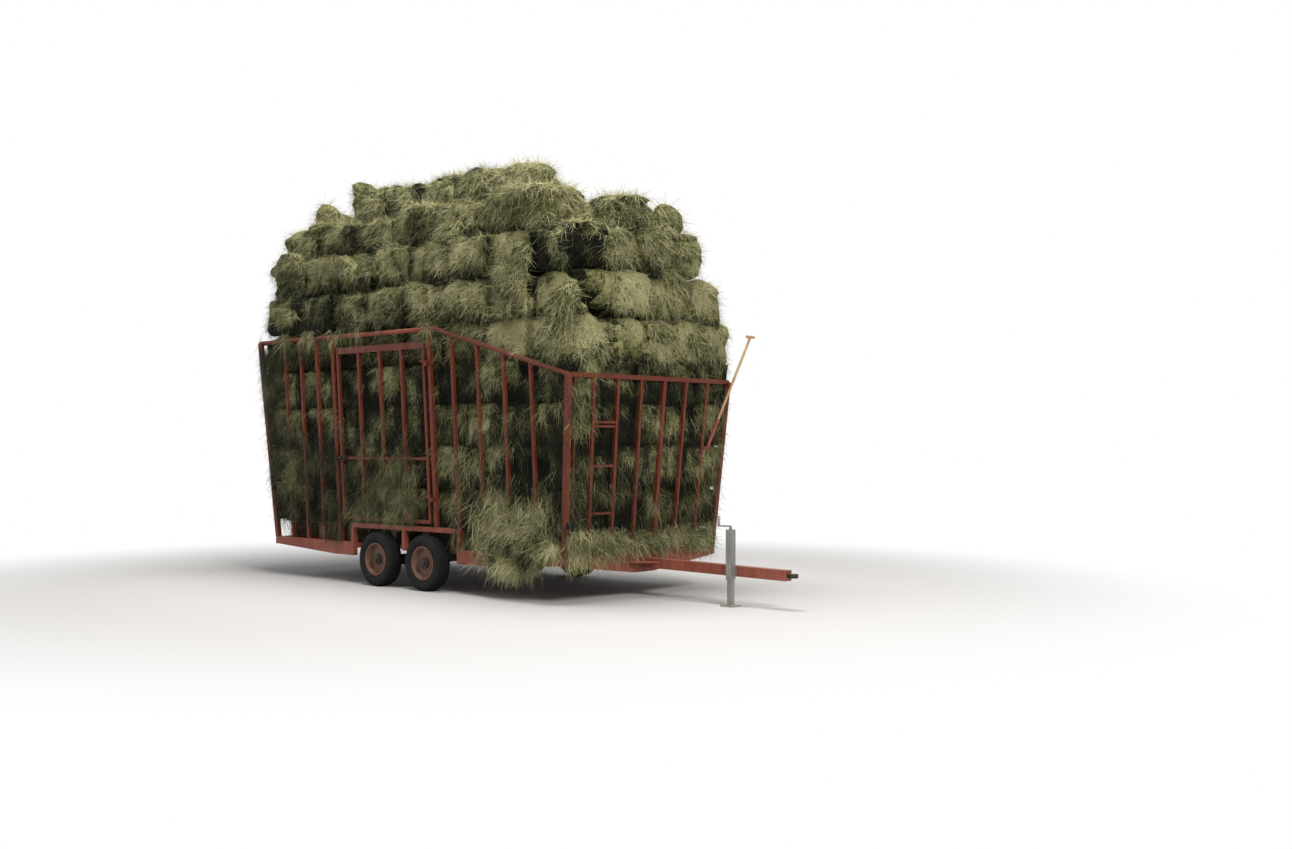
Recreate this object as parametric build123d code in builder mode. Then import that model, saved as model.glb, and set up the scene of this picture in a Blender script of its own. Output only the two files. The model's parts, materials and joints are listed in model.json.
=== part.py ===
from build123d import *
import os
import random

os.makedirs("parts", exist_ok=True)

# Hay wagon, in millimetres: +X forward, +Y to its left, +Z up.
# The origin is the centre of the tow eye. A place is given by s, its distance back from the
# front of the frame, y, its offset to the left, and h, its height above the ground.

# frame and walls
EYE_HEIGHT = 335.0
EYE_TO_FRAME = 1950.0
FRAME_LENGTH = 5075.0
HALF_WIDTH = 1174.0
RAIL_TOP = 475.0
SIDE_FLARE = 0.057          # outward lean of the side walls, per unit of height
END_LEAN = 0.084            # outward lean of the front and rear walls
FRONT_RAIL_H = 2325.0
REAR_RAIL_H = 2885.0
SLOPE_END_S = 1890.0        # where the top pipe stops rising
WALL_INSET = 25.0           # from the frame's face to the middle of a wall

# chassis sections
RAIL_W = 60.0
RAIL_WEB = 8.0
RAIL_END_DEPTH = 90.0
RAIL_MID_DEPTH = 155.0
END_BEAM_T = 75.0
FRONT_BEAM_DEPTH = 213.0
MAIN_BEAM_Y = 420.0
MAIN_BEAM_W = 70.0
MAIN_BEAM_DEPTH = 120.0
FLANGE_T = 10.0
WEB_T = 8.0
CROSS_W = 50.0
CROSS_DEPTH = 60.0
DRAWBAR_W = 100.0

# walls
BAR = 36.0
POST_W = 50.0
CORNER_POST = 60.0
SIDE_POST_D = 40.0
PIPE_R = 25.0
FRONT_BAYS = 7
SIDE_BARS = 4
BAR_PITCH = 404.0

# load floor
FLOOR_TOP = 700.0
BOARD_T = 35.0
BOARD_GAP = 13.0
BOARDS = 9
FLOOR_EDGE = 110.0          # from the frame's face to the outermost board
BEARER_W = 90.0

# running gear
TYRE_R = 306.0
TYRE_W = 170.0
RIM_R = 186.0
RIM_W = 152.0
BOGIE_S = 2564.0
WHEEL_SPACING = 836.0
TYRE_OVERHANG = 80.0        # tyre's outer face beyond the frame's face
WALK_W = 70.0
WALK_GAP = 50.0             # walking beam to tyre
AXLE_BOX = 90.0
AXLE_R = 25.0
PIVOT_R = 32.0
RUNNING = 0.05              # radial clearance of a turning fit
ARCH = 55.0
ARCH_GAP = 33.0             # tyre to arch

# gates and doors
POST_TO_AXIS = 25.0
AXIS_OUT = 40.0
PIN_R = 9.0
KNUCKLE = 16.0
STILE_GAP = 34.0
GATE_T = 34.0
GATE_LIFT = 35.0
GATE_BARS = 5
GATE_LENGTH = 1600.0
LEAF_TOP_DROP = 155.0
LEAF_MID_H = 1450.0         # middle rail of the gates and doors
DOOR_SPLIT = 12.0
HINGE_H = (FLOOR_TOP + 300.0, REAR_RAIL_H - 405.0)

# parking jack
JACK_S = -1250.0
JACK_TUBE = 70.0
JACK_LEG = 53.4
JACK_CLEAR = 0.3
JACK_TRAVEL = 240.0
JACK_FOOT = 12.0

EYE_BORE_R = 20.0
EYE_R = 46.0
EYE_T = 40.0

# hay
COURSE_H = 450.0
BALE_L = 690.0
BALE_W = 520.0
BALE_GAP = 14.0
HAY_CLEAR = 12.0
OVER_FRONT_RAIL = 175.0     # fourth course's top over the front rail
OVER_SIDE_RAIL = 65.0       # fifth course's top over the level pipe

WHEEL_Y = HALF_WIDTH + TYRE_OVERHANG - TYRE_W / 2
WALK_Y = WHEEL_Y - TYRE_W / 2 - WALK_GAP - WALK_W / 2
WHEEL_S = (BOGIE_S - WHEEL_SPACING / 2, BOGIE_S + WHEEL_SPACING / 2)
ARCH_TOP = 2 * TYRE_R + ARCH_GAP + ARCH
ARCH_REACH = WHEEL_SPACING / 2 + TYRE_R + 218.0
ARCH_S = (BOGIE_S - ARCH_REACH, BOGIE_S, BOGIE_S + ARCH_REACH)
PANEL_POST_F = 1990.0
PANEL_POST_R = PANEL_POST_F + POST_W + POST_TO_AXIS + STILE_GAP + GATE_LENGTH + 51.0
SIDES = (("right", -1), ("left", 1))


def at(s, y, h):
    """Point from a distance back, an offset and a height above ground."""
    return Vector(-(EYE_TO_FRAME + s), y, h - EYE_HEIGHT)


def wall_y(h):
    """Offset of a side wall's middle at a height."""
    return HALF_WIDTH - WALL_INSET + SIDE_FLARE * (h - RAIL_TOP)


def front_s(h):
    """Distance back of the front wall's middle at a height."""
    return WALL_INSET - END_LEAN * (h - RAIL_TOP)


def rear_s(h):
    """Distance back of the rear wall's middle at a height."""
    return FRAME_LENGTH - WALL_INSET + END_LEAN * (h - RAIL_TOP)


def pipe_h(s):
    """Height of the top pipe's middle: rising at the front, then level."""
    low, high = FRONT_RAIL_H - PIPE_R, REAR_RAIL_H - PIPE_R
    start = front_s(low)
    return low + (high - low) * min(1.0, (s - start) / (SLOPE_END_S - start))


def plane_at(point, z_dir, toward):
    """Plane with its Z along z_dir and its X as near toward as it can be."""
    z = z_dir.normalized()
    x = Vector(*toward)
    x = (x - z * x.dot(z)).normalized()
    return Plane(origin=point, x_dir=x, z_dir=z)


def beam(a, b, w, d, toward=(1, 0, 0)):
    """Square bar from a to b, w wide near toward and d across it."""
    with Locations(plane_at((a + b) * 0.5, b - a, toward).location):
        Box(w, d, (b - a).length)


def rod(a, b, r, toward=(1, 0, 0), mode=Mode.ADD):
    """Round bar from a to b."""
    with Locations(plane_at((a + b) * 0.5, b - a, toward).location):
        Cylinder(r, (b - a).length, mode=mode)


def slab(s0, s1, y0, y1, h0, h1, mode=Mode.ADD):
    """Block between two distances, two offsets and two heights."""
    with Locations(plane_at((at(s0, y0, h0) + at(s1, y1, h1)) * 0.5, Vector(0, 0, 1), (1, 0, 0)).location):
        Box(abs(s1 - s0), abs(y1 - y0), abs(h1 - h0), mode=mode)


def trim_below(s0, s1, h):
    """Cut off level what stands below a height between two distances."""
    slab(s0, s1, -2 * HALF_WIDTH, 2 * HALF_WIDTH, h - 300.0, h, mode=Mode.SUBTRACT)


def save(piece, label):
    piece.part.label = label
    export_step(piece.part, "parts/" + label + ".step")


# ---------------------------------------------------------------- side rails
# Fish-bellied channels, web outside: a rail runs from each end beam to the wheel arch.
for side, k in SIDES:
    for end, s_end, s_arch in (("front", END_BEAM_T, ARCH_S[0] - ARCH / 2),
                               ("rear", FRAME_LENGTH - END_BEAM_T, ARCH_S[2] + ARCH / 2)):
        low_end, low_arch = RAIL_TOP - RAIL_END_DEPTH, RAIL_TOP - RAIL_MID_DEPTH
        belly = [(s_end, low_end), (s_end + 0.8 * (s_arch - s_end), low_arch), (s_arch, low_arch),
                 (s_arch, RAIL_TOP), (s_end, RAIL_TOP)]
        with BuildPart() as side_rail:
            with BuildSketch(Plane.XZ.offset(-k * HALF_WIDTH)) as web:
                with BuildLine():
                    Polyline(*[(at(s, 0, h).X, at(s, 0, h).Z) for s, h in belly], close=True)
                make_face()
            extrude(amount=k * RAIL_W)
            with BuildSketch(Plane.XZ.offset(-k * (HALF_WIDTH - RAIL_WEB))):
                add(web.sketch)
                offset(amount=-RAIL_WEB, kind=Kind.INTERSECTION, mode=Mode.REPLACE)
            extrude(amount=k * RAIL_W, mode=Mode.SUBTRACT)
        save(side_rail, "side_rail_" + end + "_" + side)

# ---------------------------------------------------------------- wheel arches
for side, k in SIDES:
    outer, inner = k * HALF_WIDTH, k * (HALF_WIDTH - ARCH)
    with BuildPart() as wheel_arch:
        slab(ARCH_S[0] - ARCH / 2, ARCH_S[2] + ARCH / 2, inner, outer, ARCH_TOP - ARCH, ARCH_TOP)
        for s in (ARCH_S[0], ARCH_S[2]):
            slab(s - ARCH / 2, s + ARCH / 2, inner, outer, RAIL_TOP - RAIL_MID_DEPTH, ARCH_TOP - ARCH)
        slab(BOGIE_S - ARCH / 2, BOGIE_S + ARCH / 2, inner, outer, RAIL_TOP - ARCH, ARCH_TOP - ARCH)
        slab(BOGIE_S - ARCH / 2, BOGIE_S + ARCH / 2, k * (WALK_Y - WALK_W), outer, RAIL_TOP - ARCH, RAIL_TOP)
    save(wheel_arch, "wheel_arch_" + side)

# ---------------------------------------------------------------- end beams
# The front beam is deepest where the drawbar leaves it.
with BuildPart() as front_beam:
    with BuildSketch(Plane.YZ.offset(at(END_BEAM_T, 0, 0).X)):
        low, deep = RAIL_TOP - RAIL_END_DEPTH - EYE_HEIGHT, RAIL_TOP - FRONT_BEAM_DEPTH - EYE_HEIGHT
        top = RAIL_TOP - EYE_HEIGHT
        with BuildLine():
            Polyline((-HALF_WIDTH, low), (-1.5 * DRAWBAR_W, deep), (1.5 * DRAWBAR_W, deep),
                     (HALF_WIDTH, low), (HALF_WIDTH, top), (-HALF_WIDTH, top), close=True)
        make_face()
    extrude(amount=END_BEAM_T)
save(front_beam, "front_beam")

with BuildPart() as rear_beam:
    slab(FRAME_LENGTH - END_BEAM_T, FRAME_LENGTH, -HALF_WIDTH, HALF_WIDTH, RAIL_TOP - RAIL_END_DEPTH, RAIL_TOP)
save(rear_beam, "rear_beam")

# ---------------------------------------------------------------- main beams and cross members
with BuildPart() as main_beams:
    with BuildSketch(Plane.YZ.offset(at(FRAME_LENGTH - END_BEAM_T, 0, 0).X)):
        for k in (-1, 1):
            with Locations((k * MAIN_BEAM_Y, RAIL_TOP - MAIN_BEAM_DEPTH / 2 - EYE_HEIGHT)):
                Rectangle(MAIN_BEAM_W, MAIN_BEAM_DEPTH)
            for tip in (-1, 1):
                with Locations((k * MAIN_BEAM_Y + tip * (MAIN_BEAM_W + WEB_T) / 4,
                                RAIL_TOP - MAIN_BEAM_DEPTH / 2 - EYE_HEIGHT)):
                    Rectangle((MAIN_BEAM_W - WEB_T) / 2, MAIN_BEAM_DEPTH - 2 * FLANGE_T, mode=Mode.SUBTRACT)
    extrude(amount=FRAME_LENGTH - 2 * END_BEAM_T)
save(main_beams, "main_beams")

FRONT_CROSS_S = (640.0, 1200.0, ARCH_S[0])
REAR_CROSS_S = (ARCH_S[2], FRAME_LENGTH - 1175.0, FRAME_LENGTH - 625.0)
with BuildPart() as cross_members:
    top = RAIL_TOP - FLANGE_T - 2.0
    web_in, web_out = MAIN_BEAM_Y - WEB_T / 2, MAIN_BEAM_Y + WEB_T / 2
    for s in FRONT_CROSS_S + (BOGIE_S,) + REAR_CROSS_S:
        outer = HALF_WIDTH - RAIL_WEB
        if s in (ARCH_S[0], ARCH_S[2]):
            outer = HALF_WIDTH - ARCH
        if s == BOGIE_S:
            outer = WALK_Y - WALK_W
        for y0, y1 in ((-outer, -web_out), (-web_in, web_in), (web_out, outer)):
            slab(s - CROSS_W / 2, s + CROSS_W / 2, y0, y1, top - CROSS_DEPTH, top)
save(cross_members, "cross_members")

# ---------------------------------------------------------------- drawbar and eye
with BuildPart() as drawbar:
    root = at(0, 0, RAIL_TOP - FRONT_BEAM_DEPTH / 2 - 2.0)
    tip = at(-EYE_TO_FRAME + 60.0, 0, EYE_HEIGHT)
    beam(root - Vector(10, 0, 0), tip, DRAWBAR_W + 4, DRAWBAR_W, (0, 0, 1))
    slab(END_BEAM_T, FRONT_CROSS_S[1] - CROSS_W / 2, -DRAWBAR_W / 2, DRAWBAR_W / 2, 300.0, top - CROSS_DEPTH)
    for k in (-1, 1):
        with BuildSketch(Plane.XY.offset(RAIL_TOP - FRONT_BEAM_DEPTH / 2 - EYE_HEIGHT)):
            with BuildLine():
                Polyline((root.X, k * (DRAWBAR_W / 2 - 1)), (root.X + 260, k * (DRAWBAR_W / 2 - 1)),
                         (root.X, k * 300.0), close=True)
            make_face()
        extrude(amount=12.0)
    add(front_beam.part, mode=Mode.SUBTRACT)
save(drawbar, "drawbar")

with BuildPart() as tow_eye:
    Cylinder(EYE_R, EYE_T)
    with Locations((-40.0, 0, 0)):
        Box(60.0, 60.0, EYE_T)
    Cylinder(EYE_BORE_R, 2 * EYE_T, mode=Mode.SUBTRACT)
    add(drawbar.part, mode=Mode.SUBTRACT)
save(tow_eye, "tow_eye")

# ---------------------------------------------------------------- load floor
# Timber bearers lie across the main beams, and the boards run along on top of them.
FLOOR_HALF = HALF_WIDTH - FLOOR_EDGE
FLOOR_S0, FLOOR_S1 = 150.0, FRAME_LENGTH - 60.0
BEARERS = 9
with BuildPart() as floor_bearers:
    for n in range(BEARERS):
        s = FLOOR_S0 + 100.0 + n * (FLOOR_S1 - FLOOR_S0 - 240.0) / (BEARERS - 1)
        near_wheel = WHEEL_S[0] - TYRE_R - 80 < s < WHEEL_S[1] + TYRE_R + 80
        reach = WALK_Y - WALK_W - 70.0 if near_wheel else FLOOR_HALF - 14.0
        slab(s - BEARER_W / 2, s + BEARER_W / 2, -reach, reach, RAIL_TOP, FLOOR_TOP - BOARD_T)
save(floor_bearers, "floor_bearers")

BOARD_W = (2 * FLOOR_HALF - (BOARDS - 1) * BOARD_GAP) / BOARDS
with BuildPart() as floor_boards:
    for n in range(BOARDS):
        y = -FLOOR_HALF + n * (BOARD_W + BOARD_GAP)
        slab(FLOOR_S0, FLOOR_S1, y, y + BOARD_W, FLOOR_TOP - BOARD_T, FLOOR_TOP)
save(floor_boards, "floor_boards")

# ---------------------------------------------------------------- bogie
with BuildPart() as bogie_axle:
    reach = WALK_Y - WALK_W / 2
    slab(BOGIE_S - AXLE_BOX / 2, BOGIE_S + AXLE_BOX / 2, -reach, reach, TYRE_R - AXLE_BOX / 2, TYRE_R + AXLE_BOX / 2)
    for k in (-1, 1):
        slab(BOGIE_S - AXLE_BOX, BOGIE_S + AXLE_BOX, k * (MAIN_BEAM_Y - 60), k * (MAIN_BEAM_Y + 60),
             TYRE_R, RAIL_TOP - MAIN_BEAM_DEPTH)
        rod(at(BOGIE_S, k * (reach - 1), TYRE_R), at(BOGIE_S, k * (reach + WALK_W + 14), TYRE_R), PIVOT_R)
save(bogie_axle, "bogie_axle")

# walking beam: deepest at its pivot, (share of the half length, half depth)
WALK_PROFILE = ((1.0, 45.0), (0.22, 66.0), (-0.22, 66.0), (-1.0, 45.0))
for side, k in SIDES:
    with BuildPart() as walking_beam:
        with BuildSketch(Plane.XZ.offset(-k * (WALK_Y + WALK_W / 2))):
            centre = at(BOGIE_S, 0, TYRE_R)
            half = WHEEL_SPACING / 2
            edge = [(centre.X + f * half, centre.Z + d) for f, d in WALK_PROFILE]
            edge += [(x, 2 * centre.Z - z) for x, z in reversed(edge)]
            with BuildLine():
                Polyline(*edge, close=True)
            make_face()
            with Locations((centre.X - half, centre.Z), (centre.X + half, centre.Z)):
                Circle(WALK_PROFILE[0][1])
        extrude(amount=k * WALK_W)
        for s in WHEEL_S:
            rod(at(s, k * (WALK_Y + WALK_W / 2 - 1), TYRE_R), at(s, k * (WHEEL_Y + 55), TYRE_R), AXLE_R)
        rod(at(BOGIE_S, k * (WALK_Y - WALK_W), TYRE_R), at(BOGIE_S, k * (WALK_Y + WALK_W), TYRE_R),
            PIVOT_R + RUNNING, mode=Mode.SUBTRACT)
    save(walking_beam, "walking_beam_" + side)

# ---------------------------------------------------------------- wheels
# half sections of revolution, outward positive: (offset across, radius)
TYRE_SECTION = ((-66.0, RIM_R), (-83.0, 214.0), (-85.0, 248.0), (-78.0, 284.0), (-62.0, TYRE_R - 4), (-30.0, TYRE_R),
                (30.0, TYRE_R), (62.0, TYRE_R - 4), (78.0, 284.0), (85.0, 248.0), (83.0, 214.0), (66.0, RIM_R))
RIM_SECTION = ((-76.0, RIM_R), (-76.0, RIM_R - 14), (-60.0, RIM_R - 20), (-34.0, 150.0), (6.0, 148.0), (14.0, 104.0),
               (22.0, 62.0), (32.0, 62.0), (24.0, 108.0), (20.0, 154.0), (60.0, RIM_R - 20), (76.0, RIM_R - 14),
               (76.0, RIM_R), (66.0, RIM_R), (60.0, RIM_R - 12), (-60.0, RIM_R - 12), (-66.0, RIM_R))
HUB_R = 62.0
for side, k in SIDES:
    for place, s in zip(("front", "rear"), WHEEL_S):
        centre = at(s, k * WHEEL_Y, TYRE_R)
        section_plane = Plane(origin=centre, x_dir=(0, k, 0), z_dir=(k, 0, 0))
        spin = Axis(centre, (0, 1, 0))
        for name, section in (("tyre", TYRE_SECTION), ("rim", RIM_SECTION)):
            with BuildPart() as ring:
                with BuildSketch(section_plane):
                    with BuildLine():
                        Polyline(*section, close=True)
                    make_face()
                revolve(axis=spin)
            save(ring, name + "_" + place + "_" + side)
        with BuildPart() as hub:
            rod(at(s, k * (WHEEL_Y - 90), TYRE_R), at(s, k * (WHEEL_Y + 60), TYRE_R), HUB_R)
            rod(at(s, k * (WHEEL_Y + 59), TYRE_R), at(s, k * (WHEEL_Y + 82), TYRE_R), 36.0)
            rod(at(s, k * (WHEEL_Y - 95), TYRE_R), at(s, k * (WHEEL_Y + 56), TYRE_R), AXLE_R + RUNNING,
                mode=Mode.SUBTRACT)
        save(hub, "hub_" + place + "_" + side)

# ---------------------------------------------------------------- parking jack
JACK_Y = -(DRAWBAR_W / 2 + JACK_TUBE / 2 + 11.0)
JACK_LOW = JACK_TRAVEL + JACK_FOOT + 8.0
JACK_TOP = 760.0
with BuildPart() as jack_tube:
    half = JACK_TUBE / 2
    slab(JACK_S - half, JACK_S + half, JACK_Y - half, JACK_Y + half, JACK_LOW, JACK_TOP)
    slab(JACK_S - half - 10, JACK_S + half + 10, JACK_Y + half - 5, -DRAWBAR_W / 2, JACK_LOW + 50, JACK_LOW + 130)
    bore = JACK_LEG / 2 + JACK_CLEAR
    slab(JACK_S - bore, JACK_S + bore, JACK_Y - bore, JACK_Y + bore, JACK_LOW - 10, JACK_TOP - 12, mode=Mode.SUBTRACT)
save(jack_tube, "jack_tube")

with BuildPart() as jack_crank:
    rod(at(JACK_S, JACK_Y, JACK_TOP), at(JACK_S, JACK_Y, JACK_TOP + 40), 14.0)
    rod(at(JACK_S, JACK_Y, JACK_TOP + 32), at(JACK_S + 150, JACK_Y, JACK_TOP + 32), 8.0, (0, 1, 0))
    rod(at(JACK_S + 150, JACK_Y, JACK_TOP + 24), at(JACK_S + 150, JACK_Y, JACK_TOP + 130), 13.0)
save(jack_crank, "jack_crank")

with BuildPart() as jack_leg:
    half = JACK_LEG / 2
    slab(JACK_S - half, JACK_S + half, JACK_Y - half, JACK_Y + half, JACK_FOOT - 2, JACK_TOP - JACK_TRAVEL - 30)
    slab(JACK_S - 90, JACK_S + 90, JACK_Y - 80, JACK_Y + 80, 0.0, JACK_FOOT)
    edges_up = jack_leg.edges().filter_by(Axis.Z).filter_by_position(Axis.Z, -EYE_HEIGHT, JACK_FOOT / 2 + 1 - EYE_HEIGHT)
    chamfer(edges_up, 20.0)
save(jack_leg, "jack_leg")


# ---------------------------------------------------------------- hinges
# In a hinge's plane Z is the axis and X points to the post, and k gives the outside.
def hinge_eye(plane, k, depth):
    """Fixed eye on the outside of a post of a given half depth, bored for the pin."""
    inner = AXIS_OUT + depth - SIDE_POST_D / 2 - depth + 1.0
    with Locations(plane * Pos((POST_TO_AXIS + 20.0 - KNUCKLE) / 2, k * (KNUCKLE - inner) / 2, 0)):
        Box(POST_TO_AXIS + 20.0 + KNUCKLE, KNUCKLE + inner, 40.0)
    with Locations(plane.location):
        Cylinder(PIN_R + RUNNING, 60.0, mode=Mode.SUBTRACT)


def hinge_arm(plane, k, reach):
    """Moving arm from a stile's outside to over the eye, with the pin that drops through it."""
    inner = reach - GATE_T / 2 + 1.0
    tip = KNUCKLE - 2.0
    with Locations(plane * Pos((tip - STILE_GAP - 30.0) / 2, k * (tip - inner) / 2, 33.5)):
        Box(STILE_GAP + 30.0 + tip, tip + inner, 25.0)
    with Locations(plane * Pos(0, 0, 3.0)):
        Cylinder(PIN_R, 56.0)


# ---------------------------------------------------------------- cage walls, gates and doors
panels = {}
for side, k in SIDES:
    foot = RAIL_TOP - 20.0
    h_front, h_rear = FRONT_RAIL_H - PIPE_R, REAR_RAIL_H - PIPE_R

    def wall_bar(s, h0, h1, w=BAR, d=BAR):
        beam(at(s, k * wall_y(h0), h0), at(s, k * wall_y(h1), h1), w, d)

    corner = at(front_s(h_front), k * wall_y(h_front), h_front)
    bend = at(SLOPE_END_S, k * wall_y(h_rear), h_rear)
    post_f = at(PANEL_POST_F, k * wall_y(h_rear), h_rear)
    post_r = at(PANEL_POST_R, k * wall_y(h_rear), h_rear)
    rear_corner = at(rear_s(h_rear), k * wall_y(h_rear), h_rear)

    gate_axis_s = PANEL_POST_F + POST_W / 2 + POST_TO_AXIS
    gate_dir = Vector(0, k * SIDE_FLARE, 1)
    gate_planes = [plane_at(at(gate_axis_s, k * (wall_y(h) + AXIS_OUT), h), gate_dir, (1, 0, 0)) for h in HINGE_H]
    door_axis_y = POST_W / 2 + POST_TO_AXIS
    door_out = AXIS_OUT + (CORNER_POST - SIDE_POST_D) / 2
    door_dir = Vector(-END_LEAN, k * SIDE_FLARE, 1)
    door_planes = [plane_at(at(rear_s(h) + door_out, k * (wall_y(h) - door_axis_y), h), door_dir, (0, k, 0))
                   for h in HINGE_H]

    with BuildPart() as front_panel:
        beam(at(front_s(foot), k * wall_y(foot), foot), corner, CORNER_POST, POST_W)
        for n in range(1, SIDE_BARS + 1):
            s = n * BAR_PITCH
            on_arch = ARCH_S[0] - ARCH < s < ARCH_S[2] + ARCH
            wall_bar(s, ARCH_TOP - 20 if on_arch else foot, pipe_h(s))
        wall_bar(PANEL_POST_F, ARCH_TOP - 20, h_rear, POST_W, SIDE_POST_D)
        rod(corner, bend, PIPE_R, (0, 1, 0))
        rod(bend, post_f, PIPE_R, (0, 1, 0))
        for p in (corner, bend):
            with Locations((p.X, p.Y, p.Z)):
                Sphere(PIPE_R)
        trim_below(-400.0, ARCH_S[0] - ARCH / 2, RAIL_TOP)
        trim_below(ARCH_S[0] - ARCH / 2, ARCH_S[2] + ARCH / 2, ARCH_TOP)
        for plane in gate_planes:
            hinge_eye(plane, k, 0)
    save(front_panel, "side_panel_front_" + side)

    with BuildPart() as rear_panel:
        beam(at(rear_s(foot), k * wall_y(foot), foot), rear_corner, CORNER_POST, POST_W)
        wall_bar(PANEL_POST_R, foot, h_rear, POST_W, SIDE_POST_D)
        for n in range(1, SIDE_BARS):
            wall_bar(PANEL_POST_R + n * (FRAME_LENGTH - WALL_INSET - PANEL_POST_R) / SIDE_BARS, foot, h_rear)
        rod(post_r, rear_corner, PIPE_R, (0, 1, 0))
        with Locations((rear_corner.X, rear_corner.Y, rear_corner.Z)):
            Sphere(PIPE_R)
        trim_below(PANEL_POST_R - POST_W, FRAME_LENGTH + 400.0, RAIL_TOP)
        for plane in door_planes:
            hinge_eye(plane, k, 0)
    save(rear_panel, "side_panel_rear_" + side)
    panels[side] = (front_panel.part, rear_panel.part)

    with BuildPart() as top_rail:
        rod(post_f - Vector(POST_W / 2, 0, 0), post_r + Vector(POST_W / 2, 0, 0), PIPE_R, (0, 1, 0))
    save(top_rail, "top_rail_" + side)

    low, middle, high = ARCH_TOP + GATE_LIFT + 20, LEAF_MID_H, REAR_RAIL_H - LEAF_TOP_DROP - 20
    gate_s0 = gate_axis_s + STILE_GAP
    with BuildPart() as side_gate:
        for h, d in ((low, 40.0), (middle, 30.0), (high - 17.5, 75.0)):
            beam(at(gate_s0, k * wall_y(h), h), at(gate_s0 + GATE_LENGTH, k * wall_y(h), h), GATE_T, d, (0, 1, 0))
        for n in range(GATE_BARS):
            wall_bar(gate_s0 + BAR / 2 + n * (GATE_LENGTH - BAR) / (GATE_BARS - 1), low, high, BAR, GATE_T)
        for plane in gate_planes:
            hinge_arm(plane, k, AXIS_OUT)
    save(side_gate, "side_gate_" + side)

    low = FLOOR_TOP + 45
    edge = door_axis_y + STILE_GAP
    with BuildPart() as rear_door:
        for h in (low, middle, high):
            beam(at(rear_s(h), k * DOOR_SPLIT, h), at(rear_s(h), k * (wall_y(h) - edge), h), GATE_T, 40.0)
        for n in range(GATE_BARS):
            share = n / (GATE_BARS - 1)
            y0, y1 = [DOOR_SPLIT + BAR / 2 + share * (wall_y(h) - edge - DOOR_SPLIT - BAR) for h in (low, high)]
            beam(at(rear_s(low), k * y0, low), at(rear_s(high), k * y1, high), GATE_T, BAR)
        for plane in door_planes:
            hinge_arm(plane, k, door_out)
    save(rear_door, "rear_door_" + side)

# ---------------------------------------------------------------- front wall
LADDER_H = (900.0, 1385.0, 1790.0, 1832.0)
THICK_BAR = 4
with BuildPart() as front_wall:
    low, high = RAIL_TOP + 30.0, FRONT_RAIL_H - 24.0
    for h, d in ((low, 60.0), (high, 48.0)):
        half = wall_y(h) - POST_W / 2 + 4.0
        beam(at(front_s(h), -half, h), at(front_s(h), half, h), 40.0, d)
    for n in range(1, FRONT_BAYS):
        w = BAR + 12.0 if n == THICK_BAR else BAR
        share = 2 * n / FRONT_BAYS - 1
        beam(at(front_s(low), share * wall_y(low), low), at(front_s(high), share * wall_y(high), high), w, w)
    for inset in (95.0,):
        beam(at(front_s(low), inset - wall_y(low), low), at(front_s(high), inset - wall_y(high), high), 22.0, 22.0)
    for h in LADDER_H:
        y0, y1 = [wall_y(h) * (2 * n / FRONT_BAYS - 1) for n in (1, 2)]
        beam(at(front_s(h), y0, h), at(front_s(h), y1, h), 26.0, 26.0)
    for side, k in SIDES:
        add(panels[side][0], mode=Mode.SUBTRACT)
    trim_below(-400.0, 400.0, RAIL_TOP)
save(front_wall, "front_wall")

with BuildPart() as rear_top_rail:
    h = REAR_RAIL_H - PIPE_R
    half = wall_y(h) - POST_W / 2 + 6.0
    rod(at(rear_s(h), -half, h), at(rear_s(h), half, h), PIPE_R)
    for side, k in SIDES:
        add(panels[side][1], mode=Mode.SUBTRACT)
save(rear_top_rail, "rear_top_rail")

# ---------------------------------------------------------------- hay fork
# It leans on the left front corner post, with its tines in the load.
FORK_R = 15.0
TINE_R = 5.0


def fork_at(h, share, reach):
    return at(front_s(h) - reach, share * wall_y(h), h)


fork_top = fork_at(FRONT_RAIL_H + 492.0, 1.177, 82.2)
fork_mid = fork_at(FRONT_RAIL_H - 440.0, 0.889, 32.4)
fork_end = fork_at(FRONT_RAIL_H - 758.0, 0.785, 15.3)
with BuildPart() as fork_shaft:
    rod(fork_top, fork_mid, FORK_R)
    rod(fork_top - Vector(0, 62, 0), fork_top + Vector(0, 62, 0), FORK_R + 2)
save(fork_shaft, "fork_shaft")
with BuildPart() as fork_head:
    rod(fork_mid, fork_end, FORK_R + 3)
    rod(fork_end - Vector(0, 54, 0), fork_end + Vector(0, 54, 0), 9.0)
    for n in range(4):
        offset_y = Vector(0, (n - 1.5) * 32.0, 0)
        rod(fork_end + offset_y, fork_end + offset_y + Vector(-150.0, 0, -250.0), TINE_R)
    add(fork_shaft.part, mode=Mode.SUBTRACT)
save(fork_head, "fork_head")

# ---------------------------------------------------------------- hay load
# Bales stand in courses. Inside the cage a course fills it at its narrow lower edge.
CAGE_COURSES = 4
in_cage = (FRONT_RAIL_H + OVER_FRONT_RAIL - FLOOR_TOP) / CAGE_COURSES
LEVEL = [FLOOR_TOP + n * in_cage for n in range(CAGE_COURSES + 1)]
LEVEL += [REAR_RAIL_H + OVER_SIDE_RAIL + n * COURSE_H for n in range(3)]
scatter = random.Random(11)
cores = []


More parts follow.
